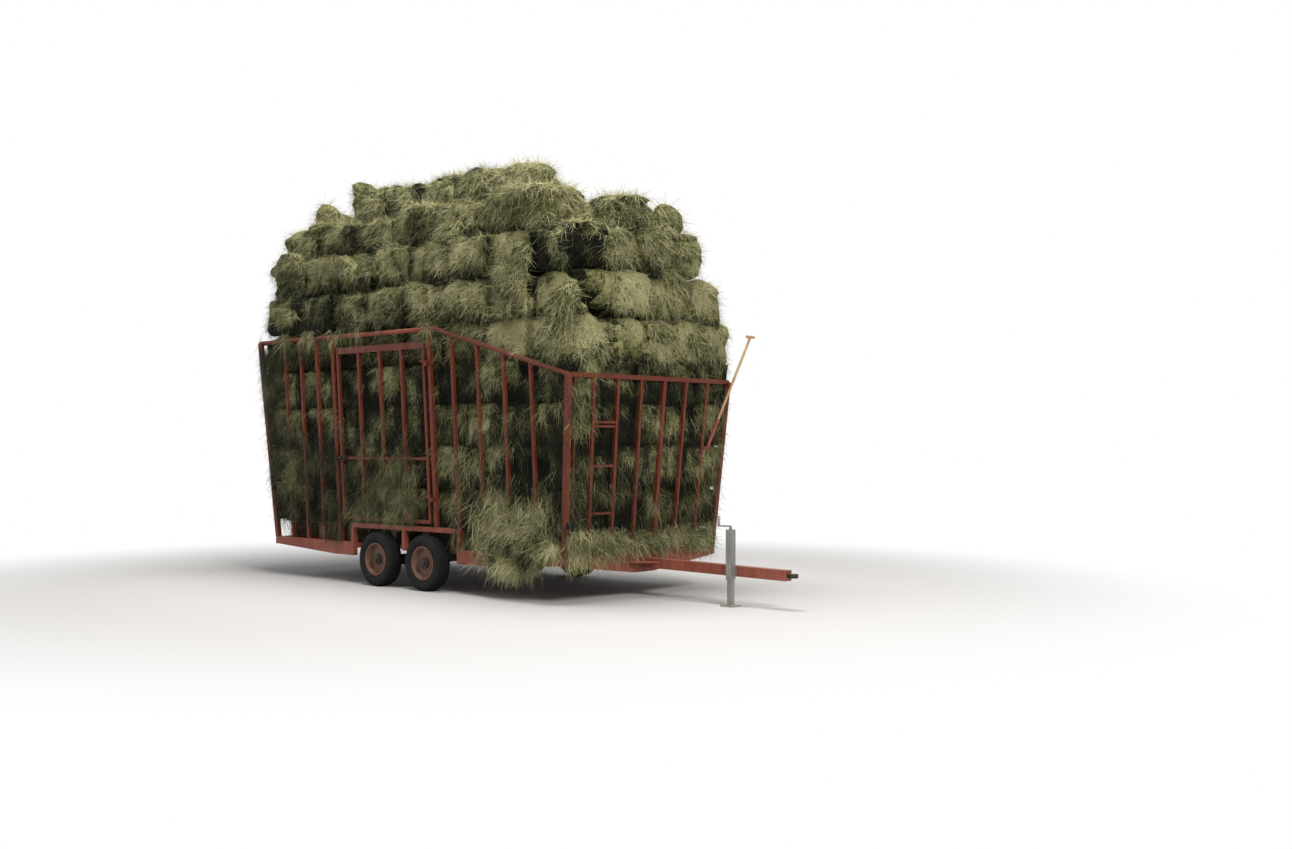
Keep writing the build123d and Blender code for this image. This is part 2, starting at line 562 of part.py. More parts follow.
def bale_block(s0, s1, y0, y1, h0, h1, hollow=False):
    """Bales in rows that don't touch. A hollow block leaves its middle to the core."""
    along = max(1, round((s1 - s0) / BALE_L))
    across = max(1, round((y1 - y0) / BALE_W))
    ds, dy = (s1 - s0) / along, (y1 - y0) / across
    for i in range(along):
        for j in range(across):
            if hollow and 0 < i < along - 1 and 0 < j < across - 1:
                continue
            back = [scatter.uniform(0, 24) for _ in range(4)]
            a = s0 + i * ds + BALE_GAP / 2 + (back[0] if i == 0 else 0)
            b = s0 + (i + 1) * ds - BALE_GAP / 2 - (back[1] if i == along - 1 else 0)
            c = y0 + j * dy + BALE_GAP / 2 + (back[2] if j == 0 else 0)
            d = y0 + (j + 1) * dy - BALE_GAP / 2 - (back[3] if j == across - 1 else 0)
            slab(a, b, c, d, h0, h1)
    if hollow:
        cores.append((s0 + ds, s1 - ds, y0 + dy, y1 - dy, h0, h1))


def cage_block(h0, h1, front=None):
    half = wall_y(h0) - POST_W / 2 - HAY_CLEAR
    s0 = front_s(h0) + 24.0 + HAY_CLEAR if front is None else front
    s1 = rear_s(h0) - CORNER_POST / 2 - HAY_CLEAR
    bale_block(s0, s1, -half, half, h0, h1, True)


L, W = FRAME_LENGTH, HALF_WIDTH
OVER_FRONT = -280.0         # how far back the load's front starts over the front rail
FRONT_BLOCK = 460.0         # where the part of the fifth course over the front rail ends
CROWN, PEAK = LEVEL[7], LEVEL[7] + 400.0
# blocks of the courses over the cage: (front, rear, right, left, low, high)
sixth = (OVER_FRONT, L + 130, -(W + 110), W - 190, LEVEL[5], LEVEL[6])
seventh = (OVER_FRONT + 30, L + 40, -(W + 80), W - 470, LEVEL[6], CROWN)
eighth = ((620.0, L - 100, -(W - 10), W - 620, CROWN, PEAK),
          (270.0, 605.0, -(W - 25), -W + 475, CROWN, PEAK - 30),
          (OVER_FRONT + 50, 150.0, -W + 495, -W + 1145, CROWN, PEAK - 90),
          (OVER_FRONT + 50, 605.0, -W + 1160, W - 870, CROWN, PEAK - 270))
ninth = ((1280.0, L - 1200, -(W - 220), -W + 870, PEAK, PEAK + 390),
         (1080.0, L - 1300, -W + 885, W - 900, PEAK, PEAK + 200),
         (920.0, 1265.0, -(W - 230), -W + 720, PEAK, PEAK + 270),
         (640.0, 905.0, -(W - 240), -W + 500, PEAK, PEAK + 150),
         (L - 1185, L - 450, -(W - 250), -W + 970, PEAK, PEAK + 140))
for n in range(1, 10):
    with BuildPart() as hay_course:
        if n <= CAGE_COURSES:
            cage_block(LEVEL[n - 1], LEVEL[n])
            add(fork_head.part, mode=Mode.SUBTRACT)
        elif n == 5:
            cage_block(LEVEL[4], LEVEL[5], FRONT_BLOCK + BALE_GAP)
            bale_block(OVER_FRONT + 10, FRONT_BLOCK, -(W + 80), W + 50, LEVEL[4], LEVEL[5])
        elif n == 6:
            bale_block(*sixth, True)
        elif n == 7:
            bale_block(*seventh, True)
        else:
            for block in eighth if n == 8 else ninth:
                bale_block(*block)
    save(hay_course, "hay_course_" + str(n))

with BuildPart() as hay_core:
    for core in cores:
        slab(*core)
save(hay_core, "hay_core")

# loose hay: what hangs over the right rail, and what lies at the front under the first course
LOOSE_S0, LOOSE_S1 = 95.0, 1065.0
with BuildPart() as loose_hay:
    with BuildSketch(Plane.YZ.offset(at(LOOSE_S1, 0, 0).X)):
        # section across: (beyond the rail's face, height)
        with BuildLine():
            Polyline(*[(-(HALF_WIDTH + out), h - EYE_HEIGHT) for out, h in (
                (0.0, RAIL_TOP), (0.0, 250.0), (35.0, 215.0), (80.0, 310.0), (88.0, 500.0), (78.0, 700.0),
                (55.0, 950.0), (30.0, 950.0))], close=True)
        make_face()
    extrude(amount=LOOSE_S1 - LOOSE_S0)
    with BuildSketch(Plane.XZ.offset(HALF_WIDTH)):
        # section along: (share of its length, height), sagging most at its rear
        with BuildLine():
            Polyline(*[(at(LOOSE_S0 + f * (LOOSE_S1 - LOOSE_S0), 0, h).X, h - EYE_HEIGHT) for f, h in (
                (0.0, 640.0), (0.0, 470.0), (0.3, 385.0), (0.55, 245.0), (0.7, 215.0), (0.86, 240.0), (1.0, 420.0),
                (0.94, 640.0), (0.78, 890.0), (0.55, 950.0), (0.3, 860.0))], close=True)
        make_face()
    extrude(amount=300.0, mode=Mode.INTERSECT)
    slab(52.0, FLOOR_S0, -FLOOR_HALF, 250.0, RAIL_TOP, FLOOR_TOP)
    slab(60.0, ARCH_S[0] - ARCH, -FLOOR_HALF - 2.0, -(wall_y(RAIL_TOP) - BAR / 2 - 2.0), RAIL_TOP, FLOOR_TOP)
save(loose_hay, "loose_hay")
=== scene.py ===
import json
import math
import random
from collections import namedtuple

import bmesh
import bpy
import numpy
from bpy.props import FloatProperty, FloatVectorProperty, IntProperty, PointerProperty
from mathutils import Matrix, Vector, noise

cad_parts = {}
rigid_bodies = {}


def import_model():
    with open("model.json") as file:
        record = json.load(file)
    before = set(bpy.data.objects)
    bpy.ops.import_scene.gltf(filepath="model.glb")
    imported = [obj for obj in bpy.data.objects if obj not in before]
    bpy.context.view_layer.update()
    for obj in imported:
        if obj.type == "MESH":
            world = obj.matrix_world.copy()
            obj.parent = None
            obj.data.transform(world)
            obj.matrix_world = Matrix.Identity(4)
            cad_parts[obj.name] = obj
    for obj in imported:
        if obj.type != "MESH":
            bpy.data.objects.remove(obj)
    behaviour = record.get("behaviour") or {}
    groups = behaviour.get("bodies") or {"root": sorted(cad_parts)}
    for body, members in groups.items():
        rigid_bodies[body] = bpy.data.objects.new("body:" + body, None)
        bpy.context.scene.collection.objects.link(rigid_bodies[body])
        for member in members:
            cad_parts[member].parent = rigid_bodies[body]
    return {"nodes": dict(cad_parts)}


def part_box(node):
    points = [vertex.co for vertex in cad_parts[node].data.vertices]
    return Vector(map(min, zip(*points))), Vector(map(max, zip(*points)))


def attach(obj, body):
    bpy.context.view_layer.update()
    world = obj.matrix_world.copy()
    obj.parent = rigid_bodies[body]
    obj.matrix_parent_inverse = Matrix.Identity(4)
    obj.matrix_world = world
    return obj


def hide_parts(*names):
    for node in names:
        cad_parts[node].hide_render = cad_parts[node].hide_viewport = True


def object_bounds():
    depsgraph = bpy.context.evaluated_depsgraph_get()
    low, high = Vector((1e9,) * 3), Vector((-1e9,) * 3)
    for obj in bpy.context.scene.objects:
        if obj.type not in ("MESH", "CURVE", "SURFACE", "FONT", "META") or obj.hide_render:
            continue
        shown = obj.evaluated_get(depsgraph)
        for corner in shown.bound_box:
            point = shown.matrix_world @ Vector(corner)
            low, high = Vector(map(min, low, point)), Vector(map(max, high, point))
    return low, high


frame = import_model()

CAD_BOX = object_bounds()

bl_info = {
    "name": "Hay Wagon",
    "version": (1, 0, 0),
    "blender": (4, 5, 0),
    "location": "View3D > Sidebar > Hay Wagon",
    "description": "Dresses a farm wagon with worn paint, treaded tyres and a shaggy load of hay",
    "category": "Object",
}

NODES = frame["nodes"]
SIDES = (("right", -1), ("left", 1))
WHEELS = [(place, side, k) for side, k in SIDES for place in ("front", "rear")]
COURSES = range(1, 10)
CAGED = 4                               # the courses up to this one stand in the cage
SIDE_LEAN, END_LEAN = 0.057, 0.084      # how far the walls lean out over each metre of height
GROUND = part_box("jack_leg")[0].z

Walls = namedtuple("Walls", "half front rear height gate_rear gate_front")


# ------------------------------------------------------------------ settings
def colour(name, text, value):
    return FloatVectorProperty(name=name, description=text, subtype="COLOR", size=4, min=0, max=1,
                               default=(*value, 1))


class HayWagonPaint(bpy.types.PropertyGroup):
    fresh: colour("Fresh red", "Paint where the weather has spared it", (0.25, 0.036, 0.020))
    faded: colour("Faded red", "Chalky paint on the weather side", (0.36, 0.090, 0.055))
    rust: colour("Rust", "Rust on edges and in patches", (0.17, 0.050, 0.016))
    dust: colour("Road dust", "Dry dust on ledges and low down", (0.34, 0.28, 0.20))
    rim: colour("Rim paint", "Dusty pink paint of the wheel rims", (0.19, 0.10, 0.070))


class HayWagonHay(bpy.types.PropertyGroup):
    dark: colour("Dark hay", "Damp and shaded stalks", (0.015, 0.018, 0.007))
    green: colour("Green hay", "Stalks that kept their green", (0.108, 0.120, 0.040))
    straw: colour("Straw", "Dry stalks", (0.365, 0.340, 0.160))
    pale: colour("Pale straw", "Bleached tips", (0.60, 0.575, 0.34))
    density: FloatProperty(name="Blades", description="Blades on each square metre", default=3640.0, min=0)
    length: FloatProperty(name="Blade length", description="Mean length of a blade", default=0.092, unit="LENGTH")
    rounding: FloatProperty(name="Rounding", description="Radius of a bale's edges", default=0.066, unit="LENGTH")
    gap: FloatProperty(name="Gap", description="Gap that opens between bales", default=0.022, unit="LENGTH")
    seed: IntProperty(name="Seed", description="Start of every random choice", default=7)


class HayWagonTyre(bpy.types.PropertyGroup):
    lugs: IntProperty(name="Lugs", description="Tread blocks around a tyre", default=56, min=8)
    tread: FloatProperty(name="Tread", description="Height of the tread blocks", default=0.009, unit="LENGTH")


def paint():
    return bpy.context.scene.hay_wagon_paint


def hay():
    return bpy.context.scene.hay_wagon_hay


def tyre():
    return bpy.context.scene.hay_wagon_tyre


# ------------------------------------------------------------------ meshes and objects
def mesh_of(bm, name):
    """Turn a bmesh into a mesh and free it."""
    mesh = bpy.data.meshes.new(name)
    bm.to_mesh(mesh)
    bm.free()
    return mesh


def add_object(name, data):
    """New object in the scene."""
    made = bpy.data.objects.new(name, data)
    bpy.context.scene.collection.objects.link(made)
    return made


def settle(host):
    """Mesh of an object with its modifiers applied. The object goes."""
    bpy.context.view_layer.update()
    mesh = bpy.data.meshes.new_from_object(host.evaluated_get(bpy.context.evaluated_depsgraph_get()))
    bpy.data.objects.remove(host)
    return mesh


def put(bm, name, material, body="wagon", stands_for=None, smooth=True):
    """Make a piece that rides on a body, takes a slot's finish and may stand for a CAD node."""
    mesh = mesh_of(bm, name)
    mesh.materials.append(bpy.data.materials[material])
    if smooth:
        mesh.shade_smooth()
    piece = add_object(name, mesh)
    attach(piece, body)
    if stands_for:
        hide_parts(stands_for)
    return piece


def cad_copy(name):
    """Merged bmesh copy of a CAD node."""
    bm = bmesh.new()
    bm.from_mesh(NODES[name].data)
    bmesh.ops.remove_doubles(bm, verts=bm.verts, dist=0.0002)
    return bm


def corners(points):
    """Lowest and highest corner of the box around some points."""
    return (Vector([min(p[i] for p in points) for i in range(3)]),
            Vector([max(p[i] for p in points) for i in range(3)]))


def islands(bm):
    """Corners of the separate solids in a bmesh."""
    left, boxes = set(bm.verts), []
    while left:
        reach = [left.pop()]
        found = list(reach)
        while reach:
            for edge in reach.pop().link_edges:
                for v in edge.verts:
                    if v in left:
                        left.remove(v)
                        reach.append(v)
                        found.append(v)
        boxes.append(corners([v.co for v in found]))
    return sorted(boxes, key=lambda b: tuple(b[0]))


def block(bm, centre, size):
    """Add a box to a bmesh."""
    matrix = Matrix.Translation(centre) @ Matrix.Diagonal(Vector(size)).to_4x4()
    bmesh.ops.create_cube(bm, size=1.0, matrix=matrix)


def round_bar(bm, points, r, segments=10):
    """Add round bar through some points, with a ball where it bends."""
    for a, b in zip(points, points[1:]):
        along = b - a
        turn = along.to_track_quat("Z", "Y").to_matrix().to_4x4()
        bmesh.ops.create_cone(bm, cap_ends=True, segments=segments, radius1=r, radius2=r, depth=along.length,
                              matrix=Matrix.Translation((a + b) / 2) @ turn)
    for p in points[1:-1]:
        bmesh.ops.create_icosphere(bm, subdivisions=2, radius=r * 1.02, matrix=Matrix.Translation(p))


# ------------------------------------------------------------------ shader nodes
def feed(tree, node, inputs):
    """Set a node's inputs to values, or link them to sockets."""
    for key, value in inputs.items():
        if isinstance(value, bpy.types.NodeSocket):
            tree.links.new(value, node.inputs[key])
        else:
            node.inputs[key].default_value = value
    return node


def shade(tree, kind, inputs=None, **settings):
    """New node with its inputs fed."""
    made = tree.nodes.new(kind)
    for name, value in settings.items():
        setattr(made, name, value)
    return feed(tree, made, inputs or {})


def maths(tree, operation, *values, clamp=False):
    """Sum on two values. The next four are the sums used most."""
    return shade(tree, "ShaderNodeMath", dict(enumerate(values)), operation=operation, use_clamp=clamp).outputs[0]


def plus(tree, *values):
    return maths(tree, "ADD", *values)


def minus(tree, *values):
    return maths(tree, "SUBTRACT", *values)


def times(tree, *values, clamp=False):
    return maths(tree, "MULTIPLY", *values, clamp=clamp)


def most(tree, *values, clamp=False):
    return maths(tree, "MAXIMUM", *values, clamp=clamp)


def vector(tree, operation, inputs):
    """Outputs of a vector sum: the vector first, then the number."""
    return shade(tree, "ShaderNodeVectorMath", inputs, operation=operation).outputs


def here(tree):
    """The place on the piece, in metres."""
    return shade(tree, "ShaderNodeTexCoord").outputs["Object"]


def own(tree, name):
    """A value that the piece's mesh holds under a name."""
    return shade(tree, "ShaderNodeAttribute", attribute_name=name).outputs["Fac"]


def ramp(tree, value, stops):
    """Colour of a value, from pairs of a place and a colour."""
    made = shade(tree, "ShaderNodeValToRGB", {0: value})
    while len(made.color_ramp.elements) < len(stops):
        made.color_ramp.elements.new(0.5)
    for element, (place, shown) in zip(made.color_ramp.elements, stops):
        element.position = place
        element.color = shown
    return made.outputs[0]


def between(tree, value, low, high):
    """Smooth step of a value from low to high."""
    return shade(tree, "ShaderNodeMapRange", {0: value, 1: low, 2: high},
                 interpolation_type="SMOOTHSTEP").outputs[0]


def blend(tree, share, a, b, way="MIX"):
    """Colour a, with a share of colour b."""
    return shade(tree, "ShaderNodeMix", {0: share, 6: a, 7: b}, data_type="RGBA", blend_type=way).outputs[2]


def spots(tree, place, scale, detail=5.0, rough=0.6, warp=0.0):
    """Cloudy noise from 0 to 1."""
    return shade(tree, "ShaderNodeTexNoise", {"Vector": place, "Scale": scale, "Detail": detail,
                                              "Roughness": rough, "Distortion": warp}).outputs[0]


def stretched(tree, place, scale, turn=(0, 0, 0)):
    return shade(tree, "ShaderNodeMapping", {"Vector": place, "Scale": scale, "Rotation": turn}).outputs[0]


def group(name, outputs, **inputs):
    """New shader node group. The values given for its inputs say what kinds of sockets they are."""
    tree = bpy.data.node_groups.new(name, "ShaderNodeTree")
    for key, value in inputs.items():
        kind = "Float" if isinstance(value, float) else {3: "Vector", 4: "Color"}[len(value)]
        tree.interface.new_socket(key.replace("_", " "), in_out="INPUT",
                                  socket_type="NodeSocket" + kind).default_value = value
    for key in outputs:
        tree.interface.new_socket(key, in_out="OUTPUT",
                                  socket_type="NodeSocketColor" if key == "Colour" else "NodeSocketFloat")
    return tree, tree.nodes.new("NodeGroupInput").outputs, tree.nodes.new("NodeGroupOutput")


def use(tree, name, **inputs):
    """Place a group in a material, with that material's own values."""
    made = tree.nodes.new("ShaderNodeGroup")
    made.node_tree = bpy.data.node_groups[name]
    return feed(tree, made, {key.replace("_", " "): value for key, value in inputs.items()}).outputs


def material(name, viewed):
    """New material with a Principled BSDF, and its tree."""
    made = bpy.data.materials.new(name)
    made.use_nodes = True
    made.diffuse_color = viewed
    return made, made.node_tree, made.node_tree.nodes["Principled BSDF"]


def finish(tree, surface, shown, rough, height=None, depth=0.002, strength=0.6, gloss=0.5):
    """Feed a Principled BSDF its colour, roughness and relief."""
    feed(tree, surface, {"Base Color": shown, "Roughness": rough, "Specular IOR Level": gloss})
    if height is not None:
        bump = shade(tree, "ShaderNodeBump", {"Height": height, "Distance": depth, "Strength": strength})
        tree.links.new(bump.outputs[0], surface.inputs["Normal"])


# ------------------------------------------------------------------ shared effects
def make_worn_paint():
    """Chalked paint that has rubbed off at edges and rusts in patches, under dust."""
    tree, given, out = group(
        "Worn paint", ("Colour", "Roughness", "Height"), Fresh=(0.2, 0.03, 0.02, 1), Faded=(0.35, 0.1, 0.07, 1),
        Rust=(0.2, 0.06, 0.02, 1), Dust=(0.34, 0.28, 0.2, 1), Rust_share=0.5, Dust_share=0.4, Edge=0.006)
    place = here(tree)
    facing = shade(tree, "ShaderNodeNewGeometry").outputs["Normal"]
    bevel = shade(tree, "ShaderNodeBevel", {0: given["Edge"]}, samples=4).outputs[0]
    level = vector(tree, "DOT_PRODUCT", {0: bevel, 1: facing})[1]
    fine = spots(tree, place, 46.0, 6, 0.7)
    broad = spots(tree, place, 1.6, 4, 0.6)
    patch = spots(tree, place, 7.5, 9, 0.72, 0.4)
    streak = spots(tree, stretched(tree, place, (26, 26, 1.6)), 1.0, 5, 0.65)
    edge = times(tree, between(tree, minus(tree, 1.0, level), 0.004, 0.06), between(tree, fine, 0.38, 0.62))
    chalk = between(tree, plus(tree, times(tree, broad, 0.6), times(tree, streak, 0.4)), 0.38, 0.62)
    start = minus(tree, 0.74, times(tree, given["Rust share"], 0.26))
    rusty = between(tree, patch, start, plus(tree, start, 0.07))
    rusty = most(tree, rusty, times(tree, edge, 0.9))
    runs = times(tree, between(tree, streak, 0.55, 0.75), times(tree, given["Rust share"], 0.5))
    rusty = most(tree, rusty, runs, clamp=True)
    up = shade(tree, "ShaderNodeSeparateXYZ", {0: facing}).outputs[2]
    low = shade(tree, "ShaderNodeSeparateXYZ", {0: place}).outputs[2]
    splash = times(tree, between(tree, low, 0.5, -0.3), 0.65)
    dusty = times(tree, most(tree, between(tree, up, 0.2, 0.95), splash), between(tree, fine, 0.30, 0.72))
    dusty = times(tree, dusty, given["Dust share"], clamp=True)
    shown = blend(tree, chalk, given["Fresh"], given["Faded"])
    grime = times(tree, between(tree, fine, 0.25, 0.75), 0.35)
    shown = blend(tree, grime, shown, (0.05, 0.012, 0.01, 1), "MULTIPLY")
    deep = blend(tree, between(tree, fine, 0.4, 0.65), given["Rust"], (0.07, 0.028, 0.014, 1))
    shown = blend(tree, rusty, shown, deep)
    feed(tree, out, {
        "Colour": blend(tree, dusty, shown, given["Dust"]),
        "Roughness": plus(tree, 0.42, times(tree, most(tree, rusty, dusty), 0.45)),
        "Height": plus(tree, times(tree, fine, plus(tree, 0.15, rusty)), times(tree, rusty, -0.5))})


def make_hay_fibre():
    """Close-packed stalks, seen as streaks that hang and cross."""
    tree, given, out = group("Hay fibre", ("Colour", "Height"), Dark=(0.04, 0.04, 0.015, 1),
                             Green=(0.17, 0.18, 0.07, 1), Straw=(0.4, 0.35, 0.19, 1), Shade=0.5)
    place = here(tree)
    warped = vector(tree, "ADD", {0: place, 1: times(tree, spots(tree, place, 3.0, 3, 0.5), 0.25)})[0]
    hang = spots(tree, stretched(tree, warped, (130, 130, 14)), 1.0, 4, 0.7)
    cross = spots(tree, stretched(tree, warped, (24, 24, 150), (0.5, 0.3, 0.2)), 1.0, 4, 0.7)
    lumps = spots(tree, place, 5.0, 4, 0.6)
    clots = minus(tree, spots(tree, warped, 34.0, 3, 0.7), 0.5)
    fibre = most(tree, hang, times(tree, cross, 0.92))
    tone = plus(tree, times(tree, fibre, 0.75), times(tree, lumps, 0.35))
    tone = plus(tree, tone, times(tree, clots, 0.85))
    tone = plus(tree, tone, times(tree, minus(tree, given["Shade"], 0.5), 0.30))
    first = blend(tree, between(tree, tone, 0.42, 0.66), given["Dark"], given["Green"])
    feed(tree, out, {"Colour": blend(tree, between(tree, tone, 0.60, 0.86), first, given["Straw"]),
                     "Height": plus(tree, times(tree, fibre, 0.8), clots)})


def make_grain():
    """Weathered timber: long grain, dark checks and stains."""
    tree, given, out = group("Timber grain", ("Colour", "Height"), Light=(0.30, 0.23, 0.15, 1),
                             Dark=(0.08, 0.055, 0.035, 1), Stretch=(2.0, 30.0, 30.0))
    place = here(tree)
    rings = spots(tree, vector(tree, "MULTIPLY", {0: place, 1: given["Stretch"]})[0], 1.0, 7, 0.62, 0.5)
    stain = spots(tree, place, 3.2, 4, 0.6)
    tone = plus(tree, times(tree, rings, 0.75), times(tree, stain, 0.3))
    feed(tree, out, {"Colour": blend(tree, between(tree, tone, 0.36, 0.66), given["Dark"], given["Light"]),
                     "Height": rings})


def worn(name, fresh, faded, rust_share, dust_share, edge=0.006, metallic=0.0):
    """Painted or bare metal, more or less rusty and dusty."""
    made, tree, surface = material(name, fresh)
    p = paint()
    got = use(tree, "Worn paint", Fresh=tuple(fresh), Faded=tuple(faded), Rust=tuple(p.rust), Dust=tuple(p.dust),
              Rust_share=rust_share, Dust_share=dust_share, Edge=edge)
    finish(tree, surface, got["Colour"], got["Roughness"], got["Height"], 0.0012, 0.7, 0.28)
    surface.inputs["Metallic"].default_value = metallic
    return made


def timber(name, light, dark, stretch, rough=0.8):
    made, tree, surface = material(name, light)
    got = use(tree, "Timber grain", Light=light, Dark=dark, Stretch=stretch)
    finish(tree, surface, got["Colour"], rough, got["Height"], 0.002, 0.6)
    return made


def make_tyre_rubber():
    """Near-black rubber with dust in its hollows."""
    made, tree, surface = material("Dusty rubber", (0.03, 0.03, 0.03, 1))
    place = here(tree)
    fine = spots(tree, place, 70.0, 6, 0.7)
    broad = spots(tree, place, 6.0, 5, 0.6)
    shown = blend(tree, between(tree, broad, 0.35, 0.7), (0.0035, 0.004, 0.0045, 1), (0.009, 0.0095, 0.010, 1))
    shown = blend(tree, times(tree, between(tree, fine, 0.52, 0.85), 0.12), shown, paint().dust)
    finish(tree, surface, shown, 0.82, fine, 0.0012, 0.5, 0.25)
    return made


def with_painted_shade(tree, shown, tone_and_painted_light):
    """Hay's colour, darker where its tone is low. The tone holds the hay's own tone together with painted light
    and shade, so most of this darkening is painted shade.
    """
    # the darkest hay is multiplied down to this colour, as painted shade in creases, under bales and in the cleft
    dim = blend(tree, between(tree, tone_and_painted_light, -0.50, 0.75), (0.16, 0.16, 0.12, 1), (1, 1, 1, 1))
    return blend(tree, 1.0, dim, shown, "MULTIPLY")


def make_hay_blade():
    """Stalks, each with a tone of its own, from damp green to bleached straw."""
    _, tree, surface = material("Hay blades", (0.4, 0.36, 0.2, 1))
    h = hay()
    tone_and_painted_light = own(tree, "tone")
    patch = between(tree, spots(tree, here(tree), 7.0, 4, 0.6), 0.32, 0.68)
    tone = plus(tree, times(tree, own(tree, "shade"), 0.70), times(tree, patch, 0.24))
    # the bale's tone, with painted light and shade in it, darkens or lightens each blade
    tone = plus(tree, tone, times(tree, tone_and_painted_light, 0.38))
    shown = ramp(tree, tone, ((0.20, h.dark), (0.48, h.green), (0.74, h.straw), (1.0, h.pale)))
    finish(tree, surface, with_painted_shade(tree, shown, tone_and_painted_light), 0.72, gloss=0.25)


def make_hay_body():
    """The bales' own skin, behind the blades."""
    _, tree, surface = material("Packed hay", (0.25, 0.24, 0.12, 1))
    h = hay()
    tone_and_painted_light = own(tree, "tone")
    # the bale's tone, with its painted light and shade, also shifts the fibre's colour
    got = use(tree, "Hay fibre", Dark=tuple(h.dark), Green=tuple(h.green), Straw=tuple(h.straw), Shade=tone_and_painted_light)
    finish(tree, surface, with_painted_shade(tree, got["Colour"], tone_and_painted_light), 0.9, got["Height"], 0.03, 1.0, 0.15)


def slot_of(name):
    """The record's material slot of a node."""
    for starts, slot in ((("hay", "loose_hay"), "hay"), (("tyre",), "tyre"), (("rim",), "rim_paint"),
                         (("hub", "bogie", "walking", "tow_eye"), "hub_iron"), (("jack",), "jack_steel"),
                         (("floor",), "floor_wood"), (("fork_shaft",), "fork_wood"),
                         (("fork_head",), "fork_paint")):
        if name.startswith(starts):
            return slot
    return "red_paint"


class HAYWAGON_OT_materials(bpy.types.Operator):
    """Make the finishes and put them on the steel and timber of the frame"""
    bl_idname = "haywagon.materials"
    bl_label = "Finishes"

    def execute(self, context):
        make_worn_paint()
        make_hay_fibre()
        make_grain()
        make_hay_blade()
        make_hay_body()
        p = paint()
        bars = worn("Rusty bar paint", (0.130, 0.016, 0.007, 1), (0.165, 0.033, 0.015, 1), 0.85, 0.20)
        bearers = timber("Grey bearers", (0.22, 0.17, 0.11, 1), (0.05, 0.036, 0.024, 1), (30, 2, 30))
        finishes = {
            "red_paint": worn("Faded red paint", p.fresh, p.faded, 0.55, 0.5),
            "rim_paint": worn("Dusty rim paint", (0.125, 0.050, 0.026, 1), p.rim, 0.6, 0.4, 0.004),
            "hub_iron": worn("Greasy iron", (0.012, 0.010, 0.009, 1), (0.028, 0.020, 0.016, 1), 0.35, 0.2, 0.004),
            "jack_steel": worn("Dull zinc", (0.26, 0.26, 0.25, 1), (0.40, 0.40, 0.38, 1), 0.25, 0.5, 0.003, 0.6),
            "fork_paint": worn("Fork red", (0.30, 0.045, 0.03, 1), (0.38, 0.10, 0.07, 1), 0.5, 0.2, 0.004),
            "floor_wood": timber("Grey boards", (0.27, 0.21, 0.14, 1), (0.07, 0.05, 0.03, 1), (2, 30, 30)),
            "fork_wood": timber("Ash handle", (0.56, 0.36, 0.18, 1), (0.34, 0.19, 0.08, 1), (40, 4, 2), 0.5),
            "tyre": make_tyre_rubber(),
            "hay": bpy.data.materials["Packed hay"],
        }
        for name, part in NODES.items():
            slot = slot_of(name)
            shown = finishes[slot]
            if name.startswith(("side_panel", "side_gate", "rear_door", "front_wall")):
                shown = bars
            elif name == "floor_bearers":
                shown = bearers
            for place in part.material_slots:
                place.material = shown
            if slot in ("red_paint", "hub_iron", "floor_wood", "jack_steel"):
                part.modifiers.new("Weld", "WELD").merge_threshold = 0.0002
                bevel = part.modifiers.new("Bevel", "BEVEL")
                bevel.width = 0.003 if slot == "red_paint" else 0.002
                bevel.segments = 2
                bevel.limit_method = "ANGLE"
                bevel.angle_limit = math.radians(40)
                bevel.harden_normals = True
        return {"FINISHED"}


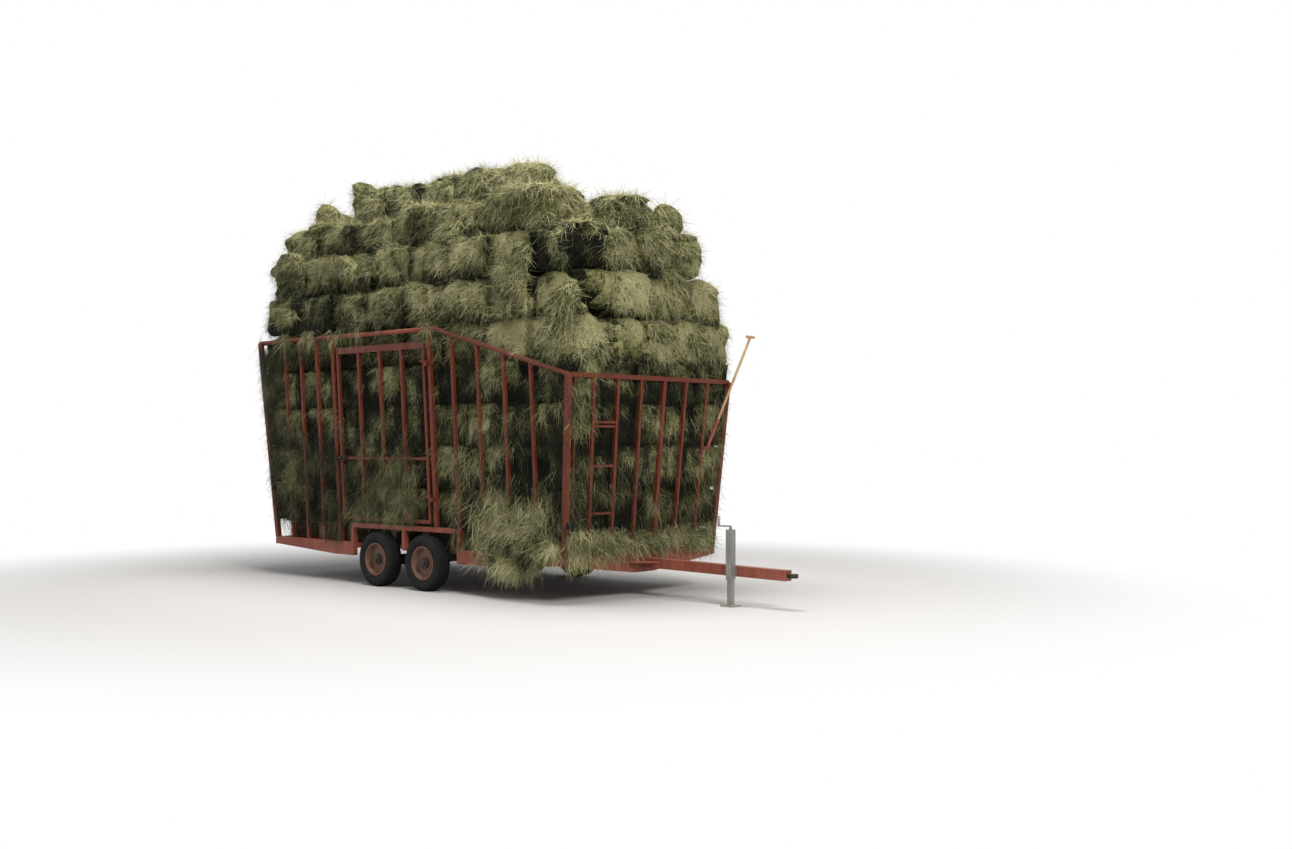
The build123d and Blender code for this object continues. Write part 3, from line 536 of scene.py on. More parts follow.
# ------------------------------------------------------------------ wheels
class HAYWAGON_OT_tyres(bpy.types.Operator):
    """Spin each tyre's section and raise its tread blocks"""
    bl_idname = "haywagon.tyres"
    bl_label = "Tyres"

    def execute(self, context):
        t = tyre()
        shoulder = 0.018        # below this depth under the crown there are no blocks
        for place, side, _ in WHEELS:
            low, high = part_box(f"tyre_{place}_{side}")
            centre = (low + high) / 2
            r, half = (high.z - low.z) / 2 - t.tread, (high.y - low.y) / 2
            inner = (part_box(f"rim_{place}_{side}")[1].z - centre.z)
            # half the section, from the crown to the bead: (offset over the half width, radius)
            section = [(0.10, r), (0.42, r + 0.001), (0.80, r - 0.002), (0.93, r - 0.014),
                       (0.975, inner + 0.090), (1.0, inner + 0.062), (0.96, inner + 0.032),
                       (0.86, inner + 0.012), (0.74, inner)]
            section = [(-a, b) for a, b in reversed(section)] + section
            bm = bmesh.new()
            ring = [bm.verts.new(centre + Vector((0, a * half, b))) for a, b in section]
            edges = [bm.edges.new(pair) for pair in zip(ring, ring[1:])]
            bmesh.ops.spin(bm, geom=ring + edges, cent=centre, axis=(0, 1, 0), angle=math.tau,
                           steps=2 * t.lugs, use_merge=True)
            bmesh.ops.remove_doubles(bm, verts=bm.verts, dist=0.0005)
            bmesh.ops.bridge_loops(bm, edges=[e for e in bm.edges if e.is_boundary])
            bmesh.ops.recalc_face_normals(bm, faces=bm.faces)
            blocks = []
            for face in bm.faces:
                c = face.calc_center_median() - centre
                across = c.y / half
                if math.hypot(c.x, c.z) < r - shoulder:
                    continue
                turn = int(round(math.atan2(c.z, c.x) / math.tau * 2 * t.lugs - 0.5))
                band = 0 if abs(across) < 0.12 else 1 if abs(across) < 0.45 else 2
                if (turn + band + (across > 0)) % 2 == 0:
                    blocks.append(face)
            bmesh.ops.inset_individual(bm, faces=blocks, thickness=0.0012, depth=0.0, use_even_offset=True)
            raised = bmesh.ops.extrude_discrete_faces(bm, faces=blocks)["faces"]
            for face in raised:
                out = face.calc_center_median() - centre
                out.y = 0
                bmesh.ops.translate(bm, verts=face.verts, vec=out.normalized() * t.tread)
            bmesh.ops.bevel(bm, geom=[e for f in raised for e in f.edges], affect="EDGES", offset=0.0016,
                            segments=1, profile=0.5, material=-1)
            put(bm, f"tyre_tread_{place}_{side}", "Dusty rubber", f"wheel_{place}_{side}",
                f"tyre_{place}_{side}")
        return {"FINISHED"}


class HAYWAGON_OT_wheel_nuts(bpy.types.Operator):
    """Bolt each rim to its hub with six nuts on studs"""
    bl_idname = "haywagon.wheel_nuts"
    bl_label = "Wheel nuts"

    def execute(self, context):
        circle, nuts = 0.047, 6
        for place, side, k in WHEELS:
            low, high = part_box(f"hub_{place}_{side}")
            centre = (low + high) / 2
            face = (high.y if k > 0 else low.y) - k * 0.050
            turn = Matrix.Rotation(-k * math.pi / 2, 4, "X")
            bm = bmesh.new()
            for n in range(nuts):
                a = n / nuts * math.tau
                spot = Vector((centre.x + circle * math.cos(a), face, centre.z + circle * math.sin(a)))
                for r, length, sides in ((0.0115, 0.030, 6), (0.006, 0.042, 10)):      # nut, stud
                    bmesh.ops.create_cone(bm, cap_ends=True, segments=sides, radius1=r, radius2=r * 0.97,
                                          depth=length, matrix=Matrix.Translation(spot) @ turn)
            put(bm, f"wheel_nuts_{place}_{side}", "Greasy iron", f"wheel_{place}_{side}", smooth=False)
        return {"FINISHED"}


# ------------------------------------------------------------------ cage
def cage():
    """Sizes of the cage at the height of the beams' top, and the span of its side gates along the wagon."""
    front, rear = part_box("front_beam"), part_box("rear_beam")
    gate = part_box("side_gate_right")
    return Walls(rear[1].y - 0.025, front[1].x - 0.025, rear[0].x + 0.025, front[1].z,
                 gate[0].x - 0.05, gate[1].x + 0.05)


def walls_at(walls, z):
    """The same sizes at another height, to the middle of the bars."""
    rise = z - walls.height
    return walls._replace(half=walls.half + SIDE_LEAN * rise, front=walls.front + END_LEAN * rise,
                          rear=walls.rear - END_LEAN * rise, height=z)


class HAYWAGON_OT_latches(bpy.types.Operator):
    """Fit a slide bolt to each side gate, a drop bolt to the rear doors and pegs to the top pipes"""
    bl_idname = "haywagon.latches"
    bl_label = "Latches and pegs"

    def execute(self, context):
        walls = cage()
        latch_z = 1.115
        pipe_z, pipe_rise, pipe_run = 1.965, 0.56, 2.018        # the top pipe climbs so much over its run
        for side, k in SIDES:
            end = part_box(f"side_gate_{side}")[0].x
            face = walls_at(walls, latch_z).half + 0.017

            def at(x, out, up=0.0):
                """A place ahead of the gate's rear end, out from its face and up from the bolt."""
                return Vector((end + x, k * (face + out), latch_z + up))

            bm = bmesh.new()
            block(bm, at(0.062, 0.003), (0.12, 0.006, 0.060))
            for x in (0.030, 0.095):
                for up in (-0.017, 0.017):
                    block(bm, at(x, 0.014, up), (0.020, 0.018, 0.008))
                block(bm, at(x, 0.025), (0.020, 0.005, 0.042))
            round_bar(bm, [at(0.135, 0.014), at(-0.075, 0.014)], 0.008)
            round_bar(bm, [at(0.062, 0.014), at(0.062, 0.050), at(0.062, 0.050, -0.045)], 0.006)
            put(bm, f"gate_latch_{side}", "Greasy iron", f"side_gate_{side}", smooth=False)

            bm = bmesh.new()
            for up in (-0.018, 0.018):
                block(bm, at(-0.076, 0.014, up), (0.022, 0.028, 0.008))
            block(bm, at(-0.076, 0.030), (0.022, 0.005, 0.044))
            for back in (0.355, 0.405):
                z = pipe_z + pipe_rise * (back + 0.15) / pipe_run
                foot = Vector((walls.front - back, k * walls_at(walls, z).half, z + 0.02))
                round_bar(bm, [foot, foot + Vector((0, 0, 0.050))], 0.007)
            top = walls_at(walls, 2.49)
            block(bm, (top.rear + 0.01, k * (top.half + 0.006), 2.455), (0.006, 0.045, 0.11))
            block(bm, (top.rear + 0.01, k * (top.half + 0.026), 2.405), (0.030, 0.006, 0.040))
            put(bm, f"latch_keeper_{side}", "Greasy iron", smooth=False)

        bolt_y, foot_z, top_z = -0.030, 0.105, 1.75

        def by_door(z, out, y=0.0):
            """A place at a height, out from the doors' face and across from the bolt."""
            return Vector((walls_at(walls, z).rear - 0.017 - out, bolt_y + y, z))

        bm = bmesh.new()
        handle = by_door(top_z, 0.066)
        rod = [by_door(foot_z, 0.016), by_door(top_z, 0.016), handle, handle - Vector((0, 0, 0.09))]
        round_bar(bm, rod, 0.008)
        for z in (0.50, 1.00, 1.62):
            for y in (-0.016, 0.016):
                block(bm, by_door(z, 0.012, y), (0.026, 0.006, 0.030))
            block(bm, by_door(z, 0.026), (0.005, 0.038, 0.030))
        block(bm, by_door(1.2, 0.003, 0.042), (0.006, 0.10, 0.05))
        put(bm, "door_bolt", "Greasy iron", "rear_door_right", smooth=False)

        bm = bmesh.new()
        for y in (-0.017, 0.017):
            block(bm, (walls.rear - 0.040, bolt_y + y, foot_z), (0.034, 0.010, 0.035))
        block(bm, (walls.rear - 0.058, bolt_y, foot_z), (0.008, 0.044, 0.035))
        put(bm, "door_socket", "Greasy iron", smooth=False)
        return {"FINISHED"}


# ------------------------------------------------------------------ bales
def hay_blocks():
    """Corners of the bales of each course, and of the hidden middles."""
    bales, middles = {}, []
    shell = (0.3, 0.3, 0.0)         # a course is at least so thick around its middle
    for n in COURSES:
        bm = cad_copy(f"hay_course_{n}")
        bales[n] = islands(bm)
        bm.free()
        if n < 8:                   # the top two courses are a single row, with no middle
            inner = [b for b in bales[n] if n != 5 or b[1].x < -2.3]
            low, high = corners([c for b in inner for c in b])
            middles.append((Vector([low[i] + shell[i] for i in range(3)]),
                            Vector([high[i] - shell[i] for i in range(3)])))
    return bales, middles


def covered(point, boxes):
    """Whether a point lies inside one of the boxes."""
    return any(low.x < point.x < high.x and low.y < point.y < high.y and low.z < point.z < high.z
               for low, high in boxes)


def roughen(v, amount, scale, seed):
    """Noise at a place, up to an amount either way."""
    return amount * noise.noise(v * scale + Vector((seed * 3.1, seed * 1.7, seed * 0.9)))


def growth_layers(bm):
    """Face layers that say how thickly blades grow, how far they stand off and how pale the hay is, with painted
    light and shade in that paleness.
    """
    return [bm.faces.layers.float.new(name) for name in ("grow", "lift", "tone")]


def make_block():
    """Finely cut unit cube that every bale starts from."""
    bm = bmesh.new()
    bmesh.ops.create_cube(bm, size=1.0)
    bmesh.ops.subdivide_edges(bm, edges=bm.edges[:], cuts=7, use_grid_fill=True)
    return mesh_of(bm, "block")


def turned(*degrees):
    """Turn about Z, then X, then Y."""
    turn = Matrix.Identity(3)
    for angle, axis in zip(degrees, "ZXY"):
        turn = turn @ Matrix.Rotation(math.radians(angle), 3, axis)
    return turn


def shape_bale(bm, unit, low, high, pick, walls):
    """Add a rounded, lumpy bale to a bmesh. Those over the cage lie askew, those in it press on its walls."""
    h = hay()
    centre, size = (low + high) / 2, high - low
    size = size - Vector((h.gap, h.gap, h.gap * 0.6)) * pick.uniform(0.2, 1.5)
    start = len(bm.verts)
    bm.from_mesh(unit)
    bm.verts.ensure_lookup_table()
    half = size / 2
    r = min(h.rounding * pick.uniform(0.75, 1.3) * (0.25 if walls else 1.0), 0.45 * min(half))
    seed = pick.uniform(0, 40)
    loose = 0.3 if walls else 1.0
    turn = turned(*[pick.uniform(-most_turn, most_turn) * loose for most_turn in (5.5, 3.0, 2.5)])
    shift = Vector((pick.uniform(-1, 1), pick.uniform(-1, 1), pick.uniform(-0.5, 0.1))) * 0.035 * loose
    sag = pick.uniform(0.0, 0.05) * loose
    for v in bm.verts[start:]:
        p = Vector([v.co[i] * size[i] for i in range(3)])
        inner = Vector([max(-half[i] + r, min(half[i] - r, p[i])) for i in range(3)])
        away = p - inner
        n = away.normalized() if away.length > 1e-6 else p.normalized()
        p = inner + n * r
        world = p + centre
        p += n * (0.4 if walls else 1.0) * (roughen(world, 0.065, 2.6, seed) + roughen(world, 0.050, 7.0, seed)
                                           + roughen(world, 0.024, 19.0, 1))
        p.z -= sag * ((p.x / half.x) ** 2 + (p.y / half.y) ** 2)
        v.co = centre + turn @ p + shift
        if walls:
            press(v, low, walls)
        elif v.co.x > -2.1:
            v.co.x -= 0.34 * cleft(v.co)
        elif low.z < 2.3 and v.co.z > 2.2:
            lap = min(1.0, max(0.0, (-6.5 - v.co.x) / 0.5))     # the rear bales lap over the rail
            v.co.x -= 0.055 * lap
            v.co.y += math.copysign(0.03 * lap, v.co.y)


def billow(spot):
    """How far hay swells out (above 0) or hollows in (below 0) at a place on a wall."""
    side = 3.0 if spot.y > 0 else -3.0
    p = Vector((spot.x, 0.4 * spot.y + side, spot.z))
    return 0.55 * noise.noise(p * 1.4) + 0.75 * noise.noise(p * 4.3) + 0.10


def cleft(spot):
    """How deep a place lies in the cleft down the load's front, from 0 to 1. The cleft is dug into the bales and
    painted dark, as shadow.
    """
    behind, foot, top, half_width = -2.5, 2.5, 3.5, 0.20
    if spot.x < behind or not foot < spot.z < top:
        return 0.0
    middle = -1.08 + 0.45 * max(0.0, (2.95 - spot.z) / 0.5) ** 1.5 + 0.03 * math.sin(spot.z * 11.0)
    return max(0.0, 1.0 - (abs(spot.y - middle) / half_width) ** 2)


def press(v, low, walls):
    """Push a bale in the cage out to the walls, and here and there out between the bars."""
    y, front, rear = walls_at(walls, v.co.z)[:3]
    y_low, front_low, rear_low = walls_at(walls, low.z)[:3]
    bars = 0.012        # half the thickness of the bars
    swell = billow(v.co)
    corner = min(1.0, max(0.0, max(y - abs(v.co.y), min(front - v.co.x, v.co.x - rear)) - 0.12) / 0.3)
    push = 0.055 + 0.06 * (1.0 - corner)
    swell = 0.12 * swell * corner if swell < 0 else 0.17 * swell * min(1.0, max(0.15, (1.9 - v.co.z) / 1.2))
    at_gate = walls.gate_rear < v.co.x < walls.gate_front
    share = max(0.0, min(1.0, (abs(v.co.y) - 0.72 * y_low) / (0.25 * y_low)))
    out = min(abs(v.co.y) + share * (y - y_low + push),
              y - bars + (min(swell, 0.0) - 0.018 if at_gate else swell))
    v.co.y = out if v.co.y > 0 else -out
    share = max(0.0, min(1.0, (v.co.x - front_low + 0.45) / 0.4))
    v.co.x = min(v.co.x + share * (front - front_low + push), front - bars + 0.8 * swell)
    share = max(0.0, min(1.0, (rear_low + 0.45 - v.co.x) / 0.4))
    v.co.x = max(v.co.x - share * (rear_low - rear + push), rear + 0.030)


def crease_at(spot, normal, low, high):
    """Distance to the nearest crease between bales, 0.10 at most. On faces that don't look up, the height above
    the bale's foot counts too; the hay is painted darker near creases, as shade.
    """
    deepest = 0.10
    crease = deepest
    if abs(normal.x) < 0.7:
        crease = min(spot.x - low.x, high.x - spot.x, deepest)
    if abs(normal.y) < 0.7:
        crease = min(crease, spot.y - low.y, high.y - spot.y)
    if normal.z < 0.7:
        crease = min(crease, 0.3 * (spot.z - low.z) + 0.01)
    return max(0.0, crease)


class HAYWAGON_OT_bales(bpy.types.Operator):
    """Round and roughen every bale of the load and note where blades may grow"""
    bl_idname = "haywagon.bales"
    bl_label = "Bales"

    def execute(self, context):
        pick = random.Random(hay().seed)
        unit = make_block()
        bales, middles = hay_blocks()
        floor_low, floor_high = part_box("floor_boards")
        middles.append((floor_low - Vector((0, 0, 0.3)), floor_high))
        everything = [b for n in COURSES for b in bales[n]] + middles
        for n in COURSES:
            bm = bmesh.new()
            grow, lift, tone = growth_layers(bm)
            caged = n <= CAGED
            walls = cage() if caged else None
            for low, high in bales[n]:
                start = len(bm.faces)
                shape_bale(bm, unit, low, high, pick, walls)
                bm.faces.ensure_lookup_table()
                if caged:
                    # bales in the cage are darker, and darker still in the lower courses
                    tone_and_painted_light = pick.uniform(-0.30, 0.16) + 0.05 * n - 0.1
                else:       # paler in the higher courses and at the front of courses 5 and 6, as painted light where light falls on the load, and darker towards the rear
                    tone_and_painted_light = pick.uniform(0.42, 0.90) + 0.05 * (n - 5)
                    tone_and_painted_light += 0.60 * min(1.0, max(0.0, high.x + 3.4)) if n in (5, 6) else 0.0
                    tone_and_painted_light -= 0.34 * min(1.0, max(0.0, -3.6 - low.x))
                near = [b for b in everything if b != (low, high) and all(
                    b[0][i] - 0.1 < high[i] and b[1][i] + 0.1 > low[i] for i in range(3))]
                for face in bm.faces[start:]:
                    face.normal_update()
                    spot, normal = face.calc_center_median(), face.normal
                    crease = crease_at(spot, normal, low, high)
                    # painted light and shade: each bale is paler towards its top, with painted shade in the
                    # creases between bales and along the foot of their sides
                    shown = tone_and_painted_light + 0.25 * (spot.z - low.z) / (high.z - low.z) - 4.5 * (0.10 - crease)
                    # deeper painted shade right in the seams of sides and undersides
                    if normal.z < 0.7:
                        shown -= 12.0 * max(0.0, 0.045 - crease)
                    # in the cage, painted shade in the hollows and painted light on the swells; over the cage,
                    # random tone
                    shown += 1.2 * billow(spot) if caged else 0.45 * noise.noise(spot * 3.7)
                    # painted shadow: hay in the cleft is darkened
                    depth = 0.0 if caged else cleft(spot)
                    face[tone] = shown + 0.75 * noise.noise(spot * 9.5) - 1.3 * depth
                    free = not covered(spot + normal * 0.07, near)
                    face[grow] = max(0.3, 1.0 - 1.2 * depth) if free else 0.0
                    face[lift] = 0.16 if caged else 0.26 + 0.1 * max(0.0, normal.z)
            bmesh.ops.recalc_face_normals(bm, faces=bm.faces)
            put(bm, f"hay_bales_{n}", "Packed hay", stands_for=f"hay_course_{n}")

        # the middle: the core over the front, and a block that fills the cage behind the bales; both are painted
        # dark, as the shade inside the load
        bm = cad_copy("hay_core")
        bmesh.ops.bisect_plane(bm, geom=bm.verts[:] + bm.edges[:] + bm.faces[:], plane_co=(-4.5, 0, 0),
                               plane_no=(1, 0, 0))
        low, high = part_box("hay_course_1")[0].z + 0.01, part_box(f"hay_course_{CAGED}")[1].z - 0.06
        for v in bmesh.ops.create_cube(bm, size=2.0)["verts"]:
            at = walls_at(cage(), low if v.co.z < 0 else high)
            v.co = Vector((at.front - 0.05 if v.co.x > 0 else at.rear + 0.16,
                           math.copysign(at.half - 0.055, v.co.y), at.height))
        tone = bm.faces.layers.float.new("tone")
        for face in bm.faces:
            # painted shade: the hidden middle is made dark
            face[tone] = -0.45
        bmesh.ops.recalc_face_normals(bm, faces=bm.faces)
        put(bm, "hay_middle", "Packed hay", stands_for="hay_core", smooth=False)
        return {"FINISHED"}


# ------------------------------------------------------------------ blades
def make_blades():
    """Four blades, one metre long, that stand on their roots, lean and taper."""
    stock = bpy.data.collections.new("Blades")
    for n, (bend, twist) in enumerate(((0.10, 0.05), (-0.08, 0.14), (0.22, -0.12), (0.02, -0.03))):
        bm = bmesh.new()
        bmesh.ops.create_grid(bm, x_segments=1, y_segments=1, size=0.5)
        for v in bm.verts:
            tip = v.co.y > 0
            v.co = Vector((v.co.x * (0.008 if tip else 0.026) + twist * tip, bend * tip, 1.0 * tip))
        stock.objects.link(bpy.data.objects.new(f"blade_{n}", mesh_of(bm, f"blade_{n}")))


def make_growth():
    """Geometry nodes that strew blades over faces, hanging and crossing, and join them."""
    tree = bpy.data.node_groups.new("Grow blades", "GeometryNodeTree")
    tree.interface.new_socket("Geometry", in_out="INPUT", socket_type="NodeSocketGeometry")
    for name, kind in (("Blades", "Collection"), ("Density", "Float"), ("Length", "Float"), ("Droop", "Float"),
                       ("Spread", "Float"), ("Seed", "Int")):
        tree.interface.new_socket(name, in_out="INPUT", socket_type="NodeSocket" + kind)
    tree.interface.new_socket("Geometry", in_out="OUTPUT", socket_type="NodeSocketGeometry")
    given = tree.nodes.new("NodeGroupInput").outputs
    out = tree.nodes.new("NodeGroupOutput").inputs

    def chance(kind, low, high, seed):
        """A random value for each blade."""
        first, result = {"FLOAT_VECTOR": (0, 0), "FLOAT": (2, 1), "INT": (4, 2)}[kind]
        drawn = shade(tree, "FunctionNodeRandomValue", {
            first: low, first + 1: high, "Seed": plus(tree, given["Seed"], float(seed))}, data_type=kind)
        return drawn.outputs[result]

    def on_face(name):
        return shade(tree, "GeometryNodeInputNamedAttribute", {0: name}, data_type="FLOAT").outputs[0]

    points = shade(tree, "GeometryNodeDistributePointsOnFaces", {
        "Mesh": given["Geometry"], "Density": times(tree, given["Density"], on_face("grow")),
        "Seed": given["Seed"]}, distribute_method="RANDOM")
    normal = points.outputs["Normal"]
    fall = shade(tree, "ShaderNodeCombineXYZ", {2: times(tree, given["Droop"], -1.0)}).outputs[0]
    anyhow = chance("FLOAT_VECTOR", (-1, -1, -1), (1, 1, 1), 1)
    stray = vector(tree, "SCALE", {0: anyhow, "Scale": given["Spread"]})[0]
    lean = vector(tree, "ADD", {0: fall, 1: stray})[0]
    into = vector(tree, "SCALE", {0: normal, "Scale": vector(tree, "DOT_PRODUCT", {0: lean, 1: normal})[1]})[0]
    along_face = vector(tree, "SUBTRACT", {0: lean, 1: into})[0]
    flat = vector(tree, "NORMALIZE", {0: along_face})[0]
    height = times(tree, on_face("lift"), chance("FLOAT", 0.15, 2.0, 2))
    rise = vector(tree, "SCALE", {0: normal, "Scale": height})[0]
    aim = vector(tree, "ADD", {0: flat, 1: rise})[0]
    first = shade(tree, "FunctionNodeAlignRotationToVector", {"Vector": aim}, axis="Z")
    second = shade(tree, "FunctionNodeAlignRotationToVector", {"Rotation": first.outputs[0], "Vector": normal},
                   axis="Y", pivot_axis="Z")
    stock = shade(tree, "GeometryNodeCollectionInfo", {0: given["Blades"], 1: True, 2: True})
    size = times(tree, given["Length"], maths(tree, "POWER", chance("FLOAT", 0.62, 1.30, 3), 2.0))
    placed = shade(tree, "GeometryNodeInstanceOnPoints", {
        "Points": points.outputs[0], "Instance": stock.outputs[0], "Pick Instance": True,
        "Instance Index": chance("INT", 0, 3, 4), "Rotation": second.outputs[0], "Scale": size})
    toned = shade(tree, "GeometryNodeStoreNamedAttribute", {
        "Geometry": placed.outputs[0], "Name": "shade", "Value": chance("FLOAT", 0.0, 1.0, 5)},
        data_type="FLOAT", domain="INSTANCE")
    joined = shade(tree, "GeometryNodeRealizeInstances", {0: toned.outputs[0]})
    tree.links.new(joined.outputs[0], out[0])


def grow_blades(name, ground, density, length, droop, spread, seed, body="wagon"):
    """Strew blades over a mesh's faces and keep them as a piece of their own."""
    host = add_object("host", ground)
    grower = host.modifiers.new("Grow", "NODES")
    grower.node_group = bpy.data.node_groups["Grow blades"]
    values = {"Blades": bpy.data.collections["Blades"], "Density": density, "Length": length, "Droop": droop,
              "Spread": spread, "Seed": seed}
    for item in grower.node_group.interface.items_tree:
        if item.name in values:
            grower[item.identifier] = values[item.name]
    mesh = settle(host)
    mesh.name = name
    # blades are cut off where they would stand further than this out of the CAD model's box
    low, high = Vector(CAD_BOX[0]), Vector(CAD_BOX[1])
    room = (high - low) * 0.03 + Vector((0.004, 0.004, 0.004))
    places = numpy.empty(3 * len(mesh.vertices), dtype=numpy.float32)
    mesh.vertices.foreach_get("co", places)
    places = numpy.clip(places.reshape(-1, 3), low - room, high + room)
    mesh.vertices.foreach_set("co", places.ravel())
    mesh.materials.clear()
    mesh.materials.append(bpy.data.materials["Hay blades"])
    piece = add_object(name, mesh)
    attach(piece, body)


class HAYWAGON_OT_blades(bpy.types.Operator):
    """Grow blades of hay all over the bales"""
    bl_idname = "haywagon.blades"
    bl_label = "Blades on the bales"

    def execute(self, context):
        h = hay()
        make_blades()
        make_growth()
        for n in COURSES:
            ground = bpy.data.objects[f"hay_bales_{n}"].data
            length, droop, spread = (h.length * 0.9, 0.9, 0.8) if n <= CAGED else (h.length, 0.8, 0.9)
            grow_blades(f"hay_blades_{n}", ground, h.density, length, droop, spread, h.seed + 10 * n)
        return {"FINISHED"}


def curtain(name, point, span, heights, seed, density, length, mask, bright, body="wagon"):
    """Hang wisps before a wall. point(along, z, out) places them; mask(along, z) thins them out."""
    cell = 0.07
    wide, tall = span[1] - span[0], heights[1] - heights[0]
    columns, rows = max(2, int(abs(wide) / cell)), max(1, int(tall / cell))
    places = [(span[0] + wide * i / columns, heights[0] + tall * j / rows)
              for j in range(rows + 1) for i in range(columns + 1)]
    bm = bmesh.new()
    grow, lift, tone = growth_layers(bm)
    bmesh.ops.create_grid(bm, x_segments=columns, y_segments=rows, size=0.5)
    bm.verts.index_update()
    for v, (along, z) in zip(bm.verts, places):
        v.co = point(along, z, 0.020 + 0.02 * noise.noise(Vector((along * 4, z * 4, seed))))
    for face in bm.faces:
        swell = billow(face.calc_center_median())
        low_corner = min(v.index for v in face.verts)
        face[grow] = mask(*places[low_corner]) * min(1.0, max(0.25, 0.75 + 1.5 * swell))
        # each curtain's tone starts from bright; swells are painted lighter and hollows darker, as light and shade
        face[tone] = bright + 0.7 * swell
        face[lift] = 0.10
    grow_blades(name, mesh_of(bm, "curtain"), density, length, 1.2, 1.0, seed, body)


def patches(low, high, seed):
    """Mask that thins wisps out from low to high, in patches."""
    def mask(along, z):
        patch = noise.noise(Vector((along * 1.6, z * 2.2, seed))) + 0.5 * noise.noise(
            Vector((along * 4.5, z * 3.5, seed + 9)))
        return min(1.0, max(0.0, (high - z) / (high - low) * 1.1 + patch * 1.1 - 0.15))
    return mask


